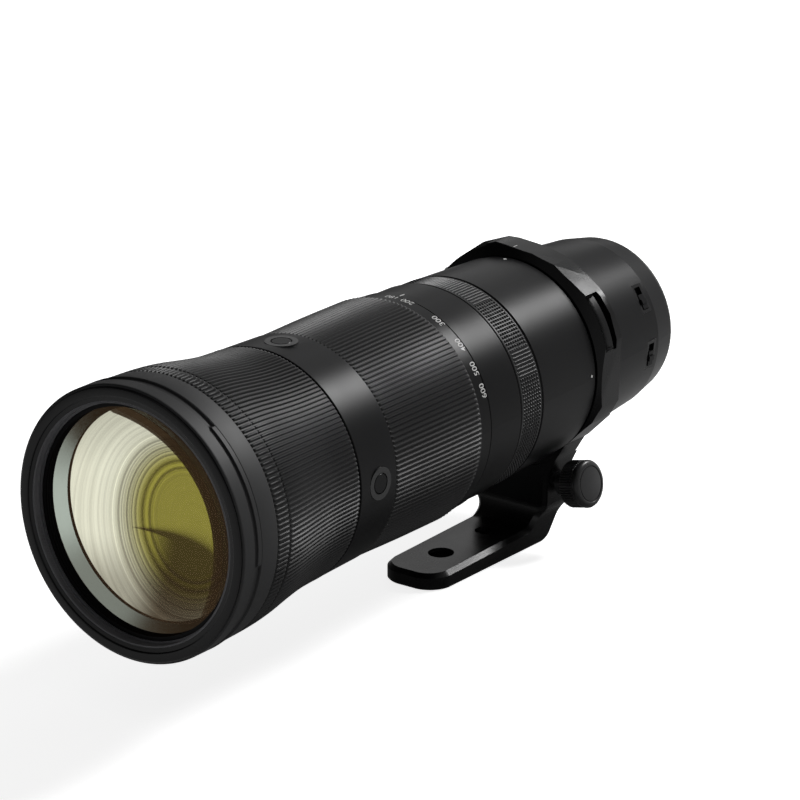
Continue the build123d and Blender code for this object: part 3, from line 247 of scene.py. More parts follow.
def glassMaterial(name, p):
    # clear glass with a thin coating; a faint slow noise keeps the polish from being perfect
    material, tree = newMaterial(name)
    shader = tree.nodes["Principled BSDF"]
    place = addNode(tree, "ShaderNodeTexCoord")
    slow = addNode(tree, "ShaderNodeTexNoise", inputs={"Scale": 40.0, "Detail": 2.0})
    low, high = p["roughness"]
    level = addNode(tree, "ShaderNodeMapRange", inputs={"To Min": low, "To Max": high})
    link = tree.links.new
    link(place.outputs["Object"], slow.inputs["Vector"])
    link(slow.outputs["Fac"], level.inputs["Value"])
    link(level.outputs["Result"], shader.inputs["Roughness"])
    shader.inputs["Base Color"].default_value = (*p["tint"], 1)
    shader.inputs["Transmission Weight"].default_value = 1.0
    shader.inputs["IOR"].default_value = p["ior"]
    shader.inputs["Thin Film Thickness"].default_value = p["film"]
    shader.inputs["Thin Film IOR"].default_value = p["filmIor"]
    return material


# painted reflection: zones and fine dark rings painted into the mirror colour of the coated glass
paintedReflectionTone = {"from": 0.024, "to": 0.04, "ringScale": 620.0, "ringLevels": (0.35, 0.65),
              "ringDepths": (-0.4, 1.0), "ringsStart": (0.016, 0.024), "ringsEnd": (0.034, 0.04)}


def buildPaintedReflectionGroup(p):
    # distance from the lens axis (in metres) turned into a tone: the middle colour runs to the rim colour
    # between two radii, and uneven fine rings, from a noise of the distance alone, darken it;
    # this tone is a painted reflection on the coated glass
    group, start, end = newGroup("paintedReflectionTone", [
        ("Vector", "NodeSocketVector"), ("Middle", "NodeSocketColor"), ("Rim", "NodeSocketColor"),
        ("Ring Depth", "NodeSocketFloat")], [("Color", "NodeSocketColor")])
    link = group.links.new
    apart = addNode(group, "ShaderNodeSeparateXYZ")
    flat = addNode(group, "ShaderNodeCombineXYZ")
    length = addNode(group, "ShaderNodeVectorMath", {"operation": "LENGTH"})
    share = smoothRange(group, p["from"], p["to"], 0.0, 1.0)
    tone = addNode(group, "ShaderNodeMix", {"data_type": "RGBA"})
    rings = addNode(group, "ShaderNodeTexNoise", {"noise_dimensions": "1D"},
                    {"Scale": p["ringScale"], "Detail": 3.0, "Roughness": 0.6})
    (lowNoise, highNoise), (lowDepth, highDepth) = p["ringLevels"], p["ringDepths"]
    wave = addNode(group, "ShaderNodeMapRange", inputs={"From Min": lowNoise, "From Max": highNoise,
                                                        "To Min": lowDepth, "To Max": highDepth})
    window = smoothRange(group, p["ringsEnd"][1], p["ringsEnd"][0], 0.25, 1.0)
    inside = smoothRange(group, *p["ringsStart"], 0.1, 1.0)
    both = addNode(group, "ShaderNodeMath", {"operation": "MULTIPLY"})
    depth = addNode(group, "ShaderNodeMath", {"operation": "MULTIPLY"})
    amount = addNode(group, "ShaderNodeMath", {"operation": "MULTIPLY"})
    shade = addNode(group, "ShaderNodeMath", {"operation": "SUBTRACT"})
    shade.inputs[0].default_value = 1.0
    dark = addNode(group, "ShaderNodeVectorMath", {"operation": "SCALE"})
    link(start.outputs["Vector"], apart.inputs[0])
    link(apart.outputs["X"], flat.inputs["X"])
    link(apart.outputs["Z"], flat.inputs["Y"])
    link(flat.outputs[0], length.inputs[0])
    for target in (share, window, inside):
        link(length.outputs["Value"], target.inputs["Value"])
    link(share.outputs["Result"], tone.inputs[0])
    link(start.outputs["Middle"], tone.inputs[6])
    link(start.outputs["Rim"], tone.inputs[7])
    link(length.outputs["Value"], rings.inputs["W"])
    link(rings.outputs["Fac"], wave.inputs["Value"])
    link(window.outputs["Result"], both.inputs[0])
    link(inside.outputs["Result"], both.inputs[1])
    link(both.outputs[0], depth.inputs[0])
    link(start.outputs["Ring Depth"], depth.inputs[1])
    link(depth.outputs[0], amount.inputs[0])
    link(wave.outputs["Result"], amount.inputs[1])
    link(amount.outputs[0], shade.inputs[1])
    link(tone.outputs[2], dark.inputs[0])
    link(shade.outputs[0], dark.inputs["Scale"])
    link(dark.outputs[0], end.inputs["Color"])
    return group


paintedReflectionGroup = buildPaintedReflectionGroup(paintedReflectionTone)

# color is a painted brown reflection for coated faces seen edge-on; blend, growth and extra set how the
# mirror share grows edge-on
edgeOnGainAndPaintedBrown = {"color": (0.085, 0.052, 0.028), "from": 0.6, "to": 0.82, "blend": 0.25, "secondShare": 0.06,
              "growth": 1.3, "extra": 0.02}


def coatMaterial(name, p, edge):
    # coated glass face: part of the light passes tinted, a share is mirrored in the coating's colour and
    # grows edge-on to share * growth + extra; the colour changes from the middle to the rim, a painted
    # reflection, and fades to a painted brown reflection where the face is seen edge-on; second reflections
    # stay faint, as a coating keeps them;
    # the painted glow is a faint brown emission that stands in for light scattered between the glasses
    material, tree = newMaterial(name, bare=True)
    out = addNode(tree, "ShaderNodeOutputMaterial")
    through = addNode(tree, "ShaderNodeBsdfTransparent", inputs={"Color": (*p["seenThrough"], 1)})
    mirror = addNode(tree, "ShaderNodeBsdfGlossy", inputs={"Roughness": p["roughness"]})
    place = addNode(tree, "ShaderNodeTexCoord")
    # the centre shifts the painted reflection zones off the lens axis
    x, z = p.get("centre", (0.0, 0.0))
    shifted = addNode(tree, "ShaderNodeMapping", inputs={"Location": (-x * mm, 0, -z * mm)})
    tone = addNode(tree, "ShaderNodeGroup", {"node_tree": paintedReflectionGroup},
                   {"Middle": (*p["middle"], 1), "Rim": (*p["rim"], 1), "Ring Depth": p.get("rings", 0.0)})
    edgeOn = addNode(tree, "ShaderNodeLayerWeight", inputs={"Blend": edge["blend"]})
    share = p["share"]
    most = min(1.0, share * edge["growth"] + edge["extra"])
    gain = addNode(tree, "ShaderNodeMapRange", inputs={"To Min": share, "To Max": most})
    aside = addNode(tree, "ShaderNodeLayerWeight", inputs={"Blend": 0.5})
    # painted brown reflection where the face is seen edge-on
    fade = smoothRange(tree, edge["from"], edge["to"], 0.0, 1.0)
    seen = addNode(tree, "ShaderNodeMix", {"data_type": "RGBA"})
    seen.inputs[7].default_value = (*edge["color"], 1)
    path = addNode(tree, "ShaderNodeLightPath")
    first = addNode(tree, "ShaderNodeMapRange", inputs={"To Min": edge["secondShare"], "To Max": 1.0})
    strength = addNode(tree, "ShaderNodeMath", {"operation": "MULTIPLY"})
    mix = addNode(tree, "ShaderNodeMixShader")
    link = tree.links.new
    link(place.outputs["Object"], shifted.inputs["Vector"])
    link(shifted.outputs[0], tone.inputs["Vector"])
    link(aside.outputs["Facing"], fade.inputs["Value"])
    link(fade.outputs["Result"], seen.inputs[0])
    link(tone.outputs["Color"], seen.inputs[6])
    link(seen.outputs[2], mirror.inputs["Color"])
    link(edgeOn.outputs["Fresnel"], gain.inputs["Value"])
    link(path.outputs["Is Camera Ray"], first.inputs["Value"])
    link(gain.outputs["Result"], strength.inputs[0])
    link(first.outputs["Result"], strength.inputs[1])
    link(strength.outputs[0], mix.inputs[0])
    link(through.outputs[0], mix.inputs[1])
    link(mirror.outputs[0], mix.inputs[2])
    # painted glow: an emission on the glass stands in for faint brown light scattered between the glasses
    if "paintedGlow" in p:
        paintedGlowShader = addNode(tree, "ShaderNodeEmission", inputs={"Color": (*p["paintedGlow"], 1), "Strength": 1.0})
        both = addNode(tree, "ShaderNodeAddShader")
        link(mix.outputs[0], both.inputs[0])
        link(paintedGlowShader.outputs[0], both.inputs[1])
        mix = both
    link(mix.outputs[0], out.inputs[0])
    material.diffuse_color = (*p["rim"], 1)
    return material


# tone, roughness range, grain scale, grain depth in mm and what differs from the usual settings
paints = {
    "barrelPaint": ((0.006, 0.006, 0.0064), (0.3, 0.35), 3000, 0.008, {"specular": 0.07}),
    "tubePlastic": ((0.0055, 0.0055, 0.006), (0.31, 0.37), 3000, 0.008, {"specular": 0.07}),
    "gripRubber": ((0.0055, 0.0055, 0.0058), (0.4, 0.5), 1800, 0.012, {"specular": 0.145}),
    "rimBlack": ((0.006, 0.006, 0.0064), (0.24, 0.3), 2600, 0.006, {"specular": 0.16}),
    "threadGrey": ((0.13, 0.13, 0.138), (0.4, 0.5), 2600, 0.006, {"specular": 0.3}),
    "frontPaint": ((0.012, 0.012, 0.0125), (0.52, 0.6), 2600, 0.008, {"specular": 0.24}),
    "knobMetal": ((0.02, 0.02, 0.0205), (0.28, 0.34), 2600, 0.006, {"specular": 0.18}),
    "footPaint": ((0.006, 0.006, 0.0063), (0.22, 0.28), 2200, 0.015, {"specular": 0.2}),
    "innerBlack": ((0.003, 0.003, 0.0033), (0.45, 0.55), 2200, 0.012, {"specular": 0.06}),
    "knurlMetal": ((0.009, 0.009, 0.0095), (0.28, 0.34), 3000, 0.006, {"specular": 0.12}),
    "collarPaint": ((0.003, 0.003, 0.0033), (0.24, 0.3), 2200, 0.015, {"specular": 0.11}),
    "innerAlloy": ((0.5, 0.5, 0.52), (0.3, 0.4), 1500, 0.01, {"metallic": 1.0}),
    "polishedSteel": ((0.55, 0.55, 0.57), (0.18, 0.28), 1500, 0.005, {"metallic": 1.0}),
    "mountChrome": ((0.62, 0.62, 0.64), (0.14, 0.22), 1500, 0.005, {"metallic": 1.0}),
    "contactGold": ((0.75, 0.52, 0.2), (0.15, 0.22), 1500, 0.004, {"metallic": 1.0}),
    "boardGreen": ((0.02, 0.12, 0.05), (0.4, 0.5), 1500, 0.01, {}),
    "sealRubber": ((0.02, 0.02, 0.02), (0.6, 0.7), 1500, 0.01, {}),
    "markWhite": ((0.55, 0.55, 0.54), (0.45, 0.55), 1500, 0.004, {"shift": 0.1}),
}
clearGlass = {"tint": (0.95, 0.97, 0.95), "roughness": (0.0, 0.01), "ior": 1.5, "film": 300.0,
              "filmIor": 1.38}
coats = {
    "frontCoat": {"seenThrough": (1.0, 1.0, 0.99), "middle": (0.95, 0.65, 0.4), "rim": (0.95, 0.65, 0.4),
                  # the front glass's faint brown glow is painted light, an emission on the glass
                  "share": 0.003, "roughness": 0.02, "paintedGlow": (0.0105, 0.0065, 0.0036)},
    # the second glass's olive middle, cream rim, shifted centre and fine rings are painted reflection in its
    # mirror colour
    "coatWithPaintedReflection": {"seenThrough": (0.12, 0.09, 0.05), "middle": (0.27, 0.255, 0.045),
                  "rim": (0.93, 0.95, 0.8), "share": 0.9, "roughness": 0.03, "rings": 0.6,
                  "centre": (8.0, -6.0)},
    "groundEdge": {"seenThrough": (0.0, 0.0, 0.0), "middle": (0.28, 0.32, 0.3), "rim": (0.48, 0.56, 0.52),
                   "share": 0.95, "roughness": 0.22},
}
finishes = {name: grainMaterial(name, *values[:4], **values[4]) for name, values in paints.items()}
finishes["clearGlass"] = glassMaterial("clearGlass", clearGlass)
finishes.update({name: coatMaterial(name, values, edgeOnGainAndPaintedBrown) for name, values in coats.items()})

cadFinish = {
    "front_filter_ring": "rimBlack", "hood_bayonet_ring": "frontPaint", "name_ring": "frontPaint",
    "front_element": "frontCoat", "front_retainer": "innerBlack", "second_element": "coatWithPaintedReflection",
    "front_tube": "innerBlack", "focus_sleeve": "innerBlack", "focus_grip": "gripRubber",
    "button_band": "tubePlastic", "button_bezels": "knobMetal", "main_barrel": "innerAlloy",
    "mid_barrel": "tubePlastic", "rear_barrel": "barrelPaint", "end_barrel": "tubePlastic",
    "switch_plates": "rimBlack", "zoom_sleeve": "innerBlack", "zoom_grip": "gripRubber",
    "scale_band": "barrelPaint", "zoom_key": "polishedSteel", "cam_barrel": "innerAlloy",
    "guide_tube": "innerAlloy", "guide_flange": "innerAlloy", "variator_cell": "innerBlack",
    "variator_lens": "clearGlass", "compensator_cell": "innerBlack", "compensator_lens": "clearGlass",
    "control_ring": "knurlMetal", "iris_housing": "innerBlack", "iris_blades": "polishedSteel",
    "guide_rods": "polishedSteel", "focus_cell": "innerBlack", "focus_lens": "clearGlass",
    "focus_motor": "polishedSteel", "stabiliser_unit": "innerBlack", "stabiliser_cell": "innerBlack",
    "stabiliser_lens": "clearGlass", "rear_cell": "innerBlack", "rear_cell_lens": "clearGlass",
    "collar_ring": "collarPaint", "brake_shoe": "innerBlack", "foot": "footPaint",
    "foot_screws": "polishedSteel", "lock_knob": "knobMetal", "lock_screw": "polishedSteel",
    "mount_plate": "mountChrome", "mount_screws": "polishedSteel", "mount_gasket": "sealRubber",
    "rear_baffle": "innerBlack", "contact_block": "innerBlack", "contact_pins": "contactGold",
    "rear_element": "clearGlass", "rear_lens_frame": "innerBlack", "circuit_board": "boardGreen",
    "fn_button_1": "tubePlastic", "fn_button_2": "tubePlastic", "fn_button_3": "tubePlastic",
    "fn_button_4": "tubePlastic", "focus_mode_switch": "tubePlastic", "limit_switch": "tubePlastic",
}


def dress(piece, finish):
    # gives a piece its one material
    piece.data.materials.clear()
    piece.data.materials.append(finishes[finish])
    return piece


for nodeName, finish in cadFinish.items():
    dress(nodes[nodeName], finish)
print("materials ready")

# front ring, hood ring and name ring

frontRing = {"thread": 47.5, "threadPitch": 1.0, "threadDepth": 0.35, "lip": 50.6, "outer": 54.0,
             "front": 315.5, "rear": 303.8, "seat": 49.9, "step": 314.6, "bore": 46.85, "greyInside": 48.4,
             "threadFrom": 311.5, "threadTo": 314.7, "threadSteps": 33}


def makeFrontRing(p):
    # spun outline of the rim, lip and bore; the bore in front is cut by a helix: depth follows the
    # triangle wave of (station / pitch - angle / full turn); faces inside greyInside take a greyer paint
    bore, lip, outer, front = p["bore"], p["lip"], p["outer"], p["front"]
    first, last = p["threadFrom"], p["threadTo"]
    thread = [(p["thread"], s) for s in np.linspace(first, last, p["threadSteps"])[::-1]]
    outline = [(bore, p["rear"]), (p["seat"], p["rear"]), (p["seat"], p["step"]), (outer, p["step"]),
               (outer, front - 0.35), (outer - 0.35, front), (lip, front), (lip - 0.3, front - 0.15),
               (lip - 0.45, front - 0.75), (p["thread"] + 0.75, front - 0.8)]
    soft = softenOutline(outline, [0, 0, 0, 0.1, 0.12, 0.15, 0.12, 0.1, 0.1, 0.1], 3)
    whole = np.vstack([soft, thread, [(bore, first - 0.1)]])

    def relief(a, r, s):
        wave = np.abs(((s / p["threadPitch"] - a / (2 * np.pi)) % 1.0) * 2 - 1)
        inThread = (np.abs(r - p["thread"]) < 1e-6) & (s > first - 0.05) & (s < last + 0.05)
        return np.where(inThread, r + p["threadDepth"] * (wave - 0.2), r)

    piece = spinOutline("frontRing", whole, "barrel", 288, relief, 40)
    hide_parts("front_filter_ring")
    dress(piece, "rimBlack").data.materials.append(finishes["threadGrey"])
    centres = np.zeros(len(piece.data.polygons) * 3)
    piece.data.polygons.foreach_get("center", centres)
    inBore = np.hypot(centres[0::3], centres[2::3]) < p["greyInside"] * mm
    piece.data.polygons.foreach_set("material_index", inBore.astype(np.int32))
    return piece


makeFrontRing(frontRing)

hoodRing = {"inner": 49.95, "outer": 55.0, "rear": 303.8, "front": 314.6, "grooveFrom": 306.4,
            "grooveTo": 308.3, "grooveDepth": 0.8, "ribFrom": 304.5, "ribMiddle": 23.0, "ribTurn": 60.0,
            "ribEvery": 120.0, "channelLine": (304.25, 308.9, 48), "plainLine": (309.3, 313.6, 6)}


def makeHoodRing(p):
    # spun outline with a channel; where a bayonet rib stands, the channel's rear half is filled level again
    rear, front = p["rear"], p["front"]
    s = np.concatenate([[rear, rear + 0.25], np.linspace(*p["channelLine"]), np.linspace(*p["plainLine"]),
                        [front - 0.6, front - 0.25, front - 0.05, front]])
    r = np.full_like(s, p["outer"])
    r[:2] -= [0.5, 0.28]
    r[-4:] -= [0, 0.1, 0.4, 0.9]
    outline = np.vstack([[(p["inner"], rear)], np.stack([r, s], -1), [(p["inner"], front)]])

    def relief(a, radius, station):
        half = p["ribEvery"] / 2
        turn = (np.degrees(a) - p["ribMiddle"] + half) % p["ribEvery"] - half
        onRib = bar(turn, -p["ribTurn"] / 2, p["ribTurn"] / 2, 1.0)
        channel = bar(station, p["ribFrom"], p["grooveTo"], 0.35)
        groove = bar(station, p["grooveFrom"], p["grooveTo"], 0.35)
        depth = np.maximum(channel * (1 - onRib), groove) * p["grooveDepth"]
        return np.where(radius > p["outer"] - 1, radius - depth, radius)

    piece = spinOutline("hoodRing", outline, "barrel", 576, relief, 40)
    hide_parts("hood_bayonet_ring")
    return dress(piece, "frontPaint")


makeHoodRing(hoodRing)

nameRing = {"inner": 50.35, "rear": (54.2, 293.6), "front": (54.75, 303.8)}


def makeNameRing(p):
    # spun outline, a little conical, with softened outer edges
    outline = [(p["inner"], p["rear"][1]), p["rear"], p["front"], (p["inner"], p["front"][1])]
    soft = softenOutline(outline, [0, 0.35, 0.35, 0], 5)
    piece = spinOutline("nameRing", soft, "barrel", 288)
    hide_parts("name_ring")
    return dress(piece, "frontPaint")


makeNameRing(nameRing)

capSteps = 40
glassSegments = 192
glassPieces = {
    "frontDome": {"rim": 46.0, "front": 306.3, "bulge": 5.1, "thick": 0.6, "backBulge": 5.0,
                  "finish": "frontCoat", "replaces": "front_element"},
    "secondDish": {"rim": 42.6, "front": 299.45, "bulge": -14.45, "thick": 1.2, "backBulge": -14.45,
                   "finish": "coatWithPaintedReflection", "replaces": "second_element"},
}


def capLine(rim, station, bulge, steps):
    # points of a spherical face from the axis to the rim: sphere radius = (rim^2 + bulge^2) / (2 bulge),
    # station falls from the crown by sphere radius * (1 - cos)
    sphere = (rim ** 2 + bulge ** 2) / (2 * abs(bulge))
    r = np.linspace(0, rim, steps)
    fall = sphere - np.sqrt(sphere ** 2 - r ** 2)
    return np.stack([r, station + bulge - np.sign(bulge) * fall], -1)


def makeGlass(name, p):
    # front face out to the rim and back face in to the axis, spun; the two poles are merged
    face = capLine(p["rim"], p["front"], p["bulge"], capSteps)
    back = capLine(p["rim"], p["front"] - p["thick"], p["backBulge"], capSteps)[::-1]
    piece = spinOutline(name, np.vstack([face, back]), "barrel", glassSegments)
    editMesh(piece.data, lambda work: bmesh.ops.remove_doubles(work, verts=work.verts, dist=1e-7))
    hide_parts(p["replaces"])
    return dress(piece, p["finish"])


for name, settings in glassPieces.items():
    makeGlass(name, settings)

edgeRing = {"outer": 46.0, "front": 305.6, "inner": 42.65, "rear": 301.1, "seat": 298.0}


def makeEdgeRing(p):
    # ground bevel of the front glass: a cone that faces the front, with a short seat behind it
    outer, inner, seat = p["outer"], p["inner"], p["seat"]
    outline = [(outer, seat), (outer, p["front"]), (inner, p["rear"]), (inner, seat)]
    return dress(spinOutline("edgeRing", outline, "barrel", glassSegments), "groundEdge")


makeEdgeRing(edgeRing)

# ribbed rubber grips

focusGrip = {"count": 168, "depth": 0.7, "inner": 1.6, "seam": 285.6, "ribShare": 0.52, "stations": 22,
             "profile": [(235.0, 48.45), (238.0, 48.5), (244.0, 48.75), (250.0, 49.1), (256.0, 49.8),
                         (262.0, 50.7), (268.0, 51.7), (274.0, 52.75), (280.0, 53.5), (286.0, 53.95),
                         (293.3, 54.25)]}
zoomGrip = {"count": 150, "depth": 0.65, "inner": 1.6, "seam": None, "ribShare": 0.5, "stations": 10,
            "profile": [(155.0, 47.9), (160.0, 47.9), (178.0, 47.85), (190.0, 47.65), (200.0, 47.4),
                        (211.1, 47.25)]}


ribSamples = 8
profileSteps = 400
profileWindow = 41
landSteps = np.array([0, 0.15, 0.45, 0.9])
seamSteps = np.array([-0.4, -0.2, 0.2, 0.4])


def makeGrip(name, node, p, body):
    # rib wave: each rib is a flat-topped bar over its share of the pitch;
    # radius = profile - depth * (1 - wave), and the wave fades to 0 in a short land at both ends, so each
    # rib ends in a small ramp
    known = np.array(p["profile"])
    rear, front = known[0, 0], known[-1, 0]
    s = np.concatenate([rear + landSteps, np.linspace(rear + 1.5, front - 1.5, p["stations"]),
                        front - landSteps[::-1]])
    if p["seam"]:
        kept = s[np.abs(s - p["seam"]) > 0.5]
        s = np.sort(np.concatenate([kept, p["seam"] + seamSteps]))
    fine = np.linspace(rear, front, profileSteps)
    curve = np.interp(fine, known[:, 0], known[:, 1])
    window = np.hanning(profileWindow)
    padded = np.pad(curve, profileWindow // 2, mode="edge")
    smooth = np.convolve(padded, window / window.sum(), mode="valid")
    r = np.interp(s, fine, smooth)
    inside = np.array([front, front - 15, rear + 15, rear])
    back = np.stack([np.interp(inside, fine, smooth) - p["inner"], inside], -1)
    outline = np.vstack([np.stack([r, s], -1), back])
    top = len(s)

    def relief(a, radius, station):
        phase = (a * p["count"] / (2 * np.pi)) % 1.0
        rib = bar(np.abs(phase - 0.5), -1, p["ribShare"] / 2, 0.2)
        ends = bar(station, rear + 0.35, front - 0.35, 0.7)
        if p["seam"]:
            ends = ends * (1 - bar(station, p["seam"] - 0.2, p["seam"] + 0.2, 0.2))
        outside = np.arange(radius.shape[1]) < top
        return np.where(outside[None, :], radius - p["depth"] * (1 - rib * ends), radius)

    piece = spinOutline(name, outline, body, p["count"] * ribSamples, relief, 50)
    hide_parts(node)
    return dress(piece, "gripRubber")


makeGrip("focusGrip", "focus_grip", focusGrip, "focus_ring")
makeGrip("zoomGrip", "zoom_grip", zoomGrip, "zoom_ring")
print("rings and grips ready")

# control ring with its cut knurl

controlRing = {"inner": 42.85, "base": 44.75, "lip": 45.4, "rear": 109.8, "front": 125.1, "count": 180,
               "depth": 0.42, "rowPitch": 1.55, "plain": [(18.0, 33.0), (64.0, 106.0)],
               "knurlFrom": 110.6, "knurlTo": 123.2, "knurlSteps": 56}


def makeControlRing(p):
    # ribs all round, crossed by grooves in rows except in the plain sectors
    first, last, front = p["knurlFrom"], p["knurlTo"], p["front"]
    s = np.concatenate([p["rear"] + np.array([0, 0.25, 0.5]), np.linspace(first, last, p["knurlSteps"]),
                        front - np.array([1.5, 1.35, 1.1, 0.4, 0.15, 0])])
    r = np.full_like(s, p["base"])
    r[:2] -= [0.5, 0.2]
    r[-5:] = p["lip"] - np.array([0.1, 0, 0, 0.1, 0.35])
    outline = np.vstack([[(p["inner"], s[0])], np.stack([r, s], -1), [(p["inner"], s[-1])]])

    def relief(a, radius, station):
        degreesRound = np.degrees(a)
        plain = np.zeros_like(a)
        for low, high in p["plain"]:
            plain = np.maximum(plain, bar(degreesRound, low, high, 0.8))
        phase = (a * p["count"] / (2 * np.pi)) % 1.0
        rib = bar(np.abs(phase - 0.5), -1, 0.27, 0.2)
        row = ((station - first) / p["rowPitch"]) % 1.0
        rowBar = bar(np.abs(row - 0.5), -1, 0.3, 0.2)
        cut = rib * np.maximum(rowBar, plain)
        band = (radius > p["base"] - 0.05) & (station < last + 0.3)
        zone = bar(station, first + 0.3, last - 0.1, 0.4) * band
        return radius + p["depth"] * (cut - 0.3) * zone

    segments = p["count"] * ribSamples
    piece = spinOutline("controlRing", outline, "control_ring", segments, relief, 50)
    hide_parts("control_ring")
    return dress(piece, "knurlMetal")


makeControlRing(controlRing)

# numerals and index marks

numerals = {"size": 3.0, "station": 149.6, "radius": 46.9, "lift": 0.03, "body": "zoom_ring",
            "finish": "markWhite", "textScale": 1.36, "bold": 0.012,
            "places": [("180", 91.5), ("200", 82.0), ("300", 62.3), ("400", 45.8), ("500", 32.3),
                       ("600", 20.8)]}


def curvedText(words, degreesRound, p):
    # flat text cut into small triangles, then bent round the barrel: angle = start + x / radius
    name = "numeral" + words
    curve = bpy.data.curves.new(name, "FONT")
    curve.body = words
    curve.size = p["size"] * p["textScale"]
    curve.align_x = "CENTER"
    curve.align_y = "CENTER"
    curve.offset = p["size"] * p["bold"]
    holder = newPiece(name + "Flat", curve)
    mesh = bpy.data.meshes.new_from_object(holder)
    bpy.data.objects.remove(holder)
    editMesh(mesh, lambda work: bmesh.ops.triangulate(work, faces=work.faces),
             lambda work: bmesh.ops.subdivide_edges(work, edges=work.edges, cuts=2, use_grid_fill=True),
             lambda work: bmesh.ops.triangulate(work, faces=work.faces))
    flat = np.zeros(len(mesh.vertices) * 3)
    mesh.vertices.foreach_get("co", flat)
    flat = flat.reshape(-1, 3)
    turn = math.radians(degreesRound) + flat[:, 0] / p["radius"]
    high = p["radius"] + p["lift"]
    bent = np.stack([high * np.cos(turn), -(p["station"] + flat[:, 1]), high * np.sin(turn)], -1) * mm
    mesh.vertices.foreach_set("co", bent.ravel())
    mesh.update()
    piece = newPiece(name, mesh)
    thick = piece.modifiers.new("ink", "SOLIDIFY")
    thick.thickness = p["lift"] * mm
    thick.offset = 0
    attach(piece, p["body"])
    return dress(piece, p["finish"])


for words, degreesRound in numerals["places"]:
    curvedText(words, degreesRound, numerals)

# body, angle in degrees, station, radius, half width and half length
marks = {
    "zoomIndex": ("barrel", 90.0, 144.6, 46.55, 0.35, 1.6),
    "barrelDotTop": ("barrel", 91.0, 73.0, 43.5, 0.75, 0.75),
    "barrelDotSide": ("barrel", 2.0, 73.0, 43.5, 0.6, 0.6),
    "collarTick": ("collar", 92.0, 64.5, 46.8, 0.3, 1.4),
}
markShape = {"points": 32, "above": 0.04, "below": 0.3, "barPower": 0.5}


def makeMark(name, body, angle, station, radius, halfWidth, halfLength, p):
    # small painted oval lying on the barrel: x and y follow an ellipse, bent to the radius; a long one is
    # filled out to a bar by raising the sine to the bar power
    count = p["points"]
    turns = np.linspace(0, 2 * np.pi, count, endpoint=False)
    x = halfWidth * np.cos(turns)
    power = p["barPower"] if halfLength > halfWidth else 1
    y = halfLength * np.sign(np.sin(turns)) * np.abs(np.sin(turns)) ** power
    across = np.radians(angle) - x / radius
    levels = [radius + p["above"], radius - p["below"]]
    points = np.vstack([np.stack([r * np.cos(across), -(station + y), r * np.sin(across)], -1)
                        for r in levels])
    sides = [[k, (k + 1) % count, count + (k + 1) % count, count + k] for k in range(count)]
    faces = sides + [list(range(count))[::-1], list(range(count, 2 * count))]
    piece = placeMesh(name, points, faces, body)
    editMesh(piece.data, lambda work: bmesh.ops.recalc_face_normals(work, faces=work.faces))
    return dress(piece, "markWhite")


for name, values in marks.items():
    makeMark(name, *values, markShape)
print("control ring and marks ready")

# lock knob

knob = {"x": 36.0, "station": 61.5, "z": -50.5, "tilt": 12.0, "radius": 10.1, "length": 9.8, "neck": 5.2,
        "neckLength": 5.4, "ribs": 54, "ribDepth": 0.4, "bore": 2.55, "gripEnd": -3.5,
        "ringDepths": [0.65, 0.65, 0.12, 0, 0.05, 0.35, 0.95, 1.7, 2.3, 2.5, 2.6, 2.8, 2.9, 3.2],
        "ringHeights": [-3.2, -2.9, -2.65, -2.1, -1.5, -0.9, -0.35, -0.06, 0, -0.12, -0.4, -0.4, -0.15,
                        -0.05]}


def makeKnob(p):
    # outline spun about the knob's own tilted axis: knurled grip, groove, rounded bright ring, a fine
    # groove and a flat face
    t = math.radians(p["tilt"])
    out = Vector((math.cos(t), 0, math.sin(t)))
    across = Vector((0, 1, 0))
    place = Matrix((across, out.cross(across), out)).transposed().to_4x4()
    place.translation = Vector((p["x"], -p["station"], p["z"]))
    back, big = -p["length"], p["radius"]
    neckEnd = back - p["neckLength"]
    grip = [(big - 0.1, h) for h in np.linspace(back + 0.9, p["gripEnd"], 8)]
    ring = [(big - depth, h) for depth, h in zip(p["ringDepths"], p["ringHeights"])]
    shoulder = [(p["bore"], neckEnd), (p["neck"], neckEnd), (p["neck"], back), (big - 1.0, back),
                (big - 0.4, back + 0.3)]
    core = [(0.02, -0.05), (0.02, back + 1), (p["bore"], back + 1)]
    outline = np.array(shoulder + grip + ring + core)

    def relief(a, r, h):
        wave = bar(np.abs((a * p["ribs"] / (2 * np.pi)) % 1.0 - 0.5), -1, 0.27, 0.2)
        zone = (h > back + 0.8) & (h < p["gripEnd"] + 0.1) & (r > big - 0.2)
        return np.where(zone, r - p["ribDepth"] * (1 - wave), r)

    segments = p["ribs"] * ribSamples
    piece = spinOutline("lockKnob", outline, "lock", segments, relief, 35, place)
    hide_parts("lock_knob")
    return dress(piece, "knobMetal")


makeKnob(knob)

# collar and foot with rounded edges

dress(weldedCopy("collarRing", "collar_ring", "collar", 0.45), "collarPaint")
dress(weldedCopy("footPlate", "foot", "collar", 0.5), "footPaint")
print("knob, collar and foot ready")

# studio

# the floor as mirrors see it carries painted shade: a painted contact shadow near the object and a painted
# darker side at the left
studio = {"floorHeight": -79.6, "floorSize": 6.0, "floorTone": (0.8, 0.8, 0.8), "floorGlow": 0.82,
          "world": 0.12, "paintedMirrorShadow": (0.08, 0.85), "paintedMirrorShadowAt": (0.05, 0.17), "floorShift": 0.093,
          "floorSqueeze": 0.62, "mirrorSky": (0.85, 0.35), "skyFrom": 0.05, "skyTo": 0.65, "leftDarkLevel": 0.12,
          "paintedFloorShadeLeft": (-0.6, -0.22), "skyFlag": (-0.6, -0.15)}


def rayKinds(tree):
    # 1 for camera rays, and 1 for mirror and glass rays; both see the white background, matt faces don't
    path = addNode(tree, "ShaderNodeLightPath")
    mirrored = addNode(tree, "ShaderNodeMath", {"operation": "MAXIMUM"})
    tree.links.new(path.outputs["Is Glossy Ray"], mirrored.inputs[0])
    tree.links.new(path.outputs["Is Transmission Ray"], mirrored.inputs[1])
    return path.outputs["Is Camera Ray"], mirrored.outputs[0]


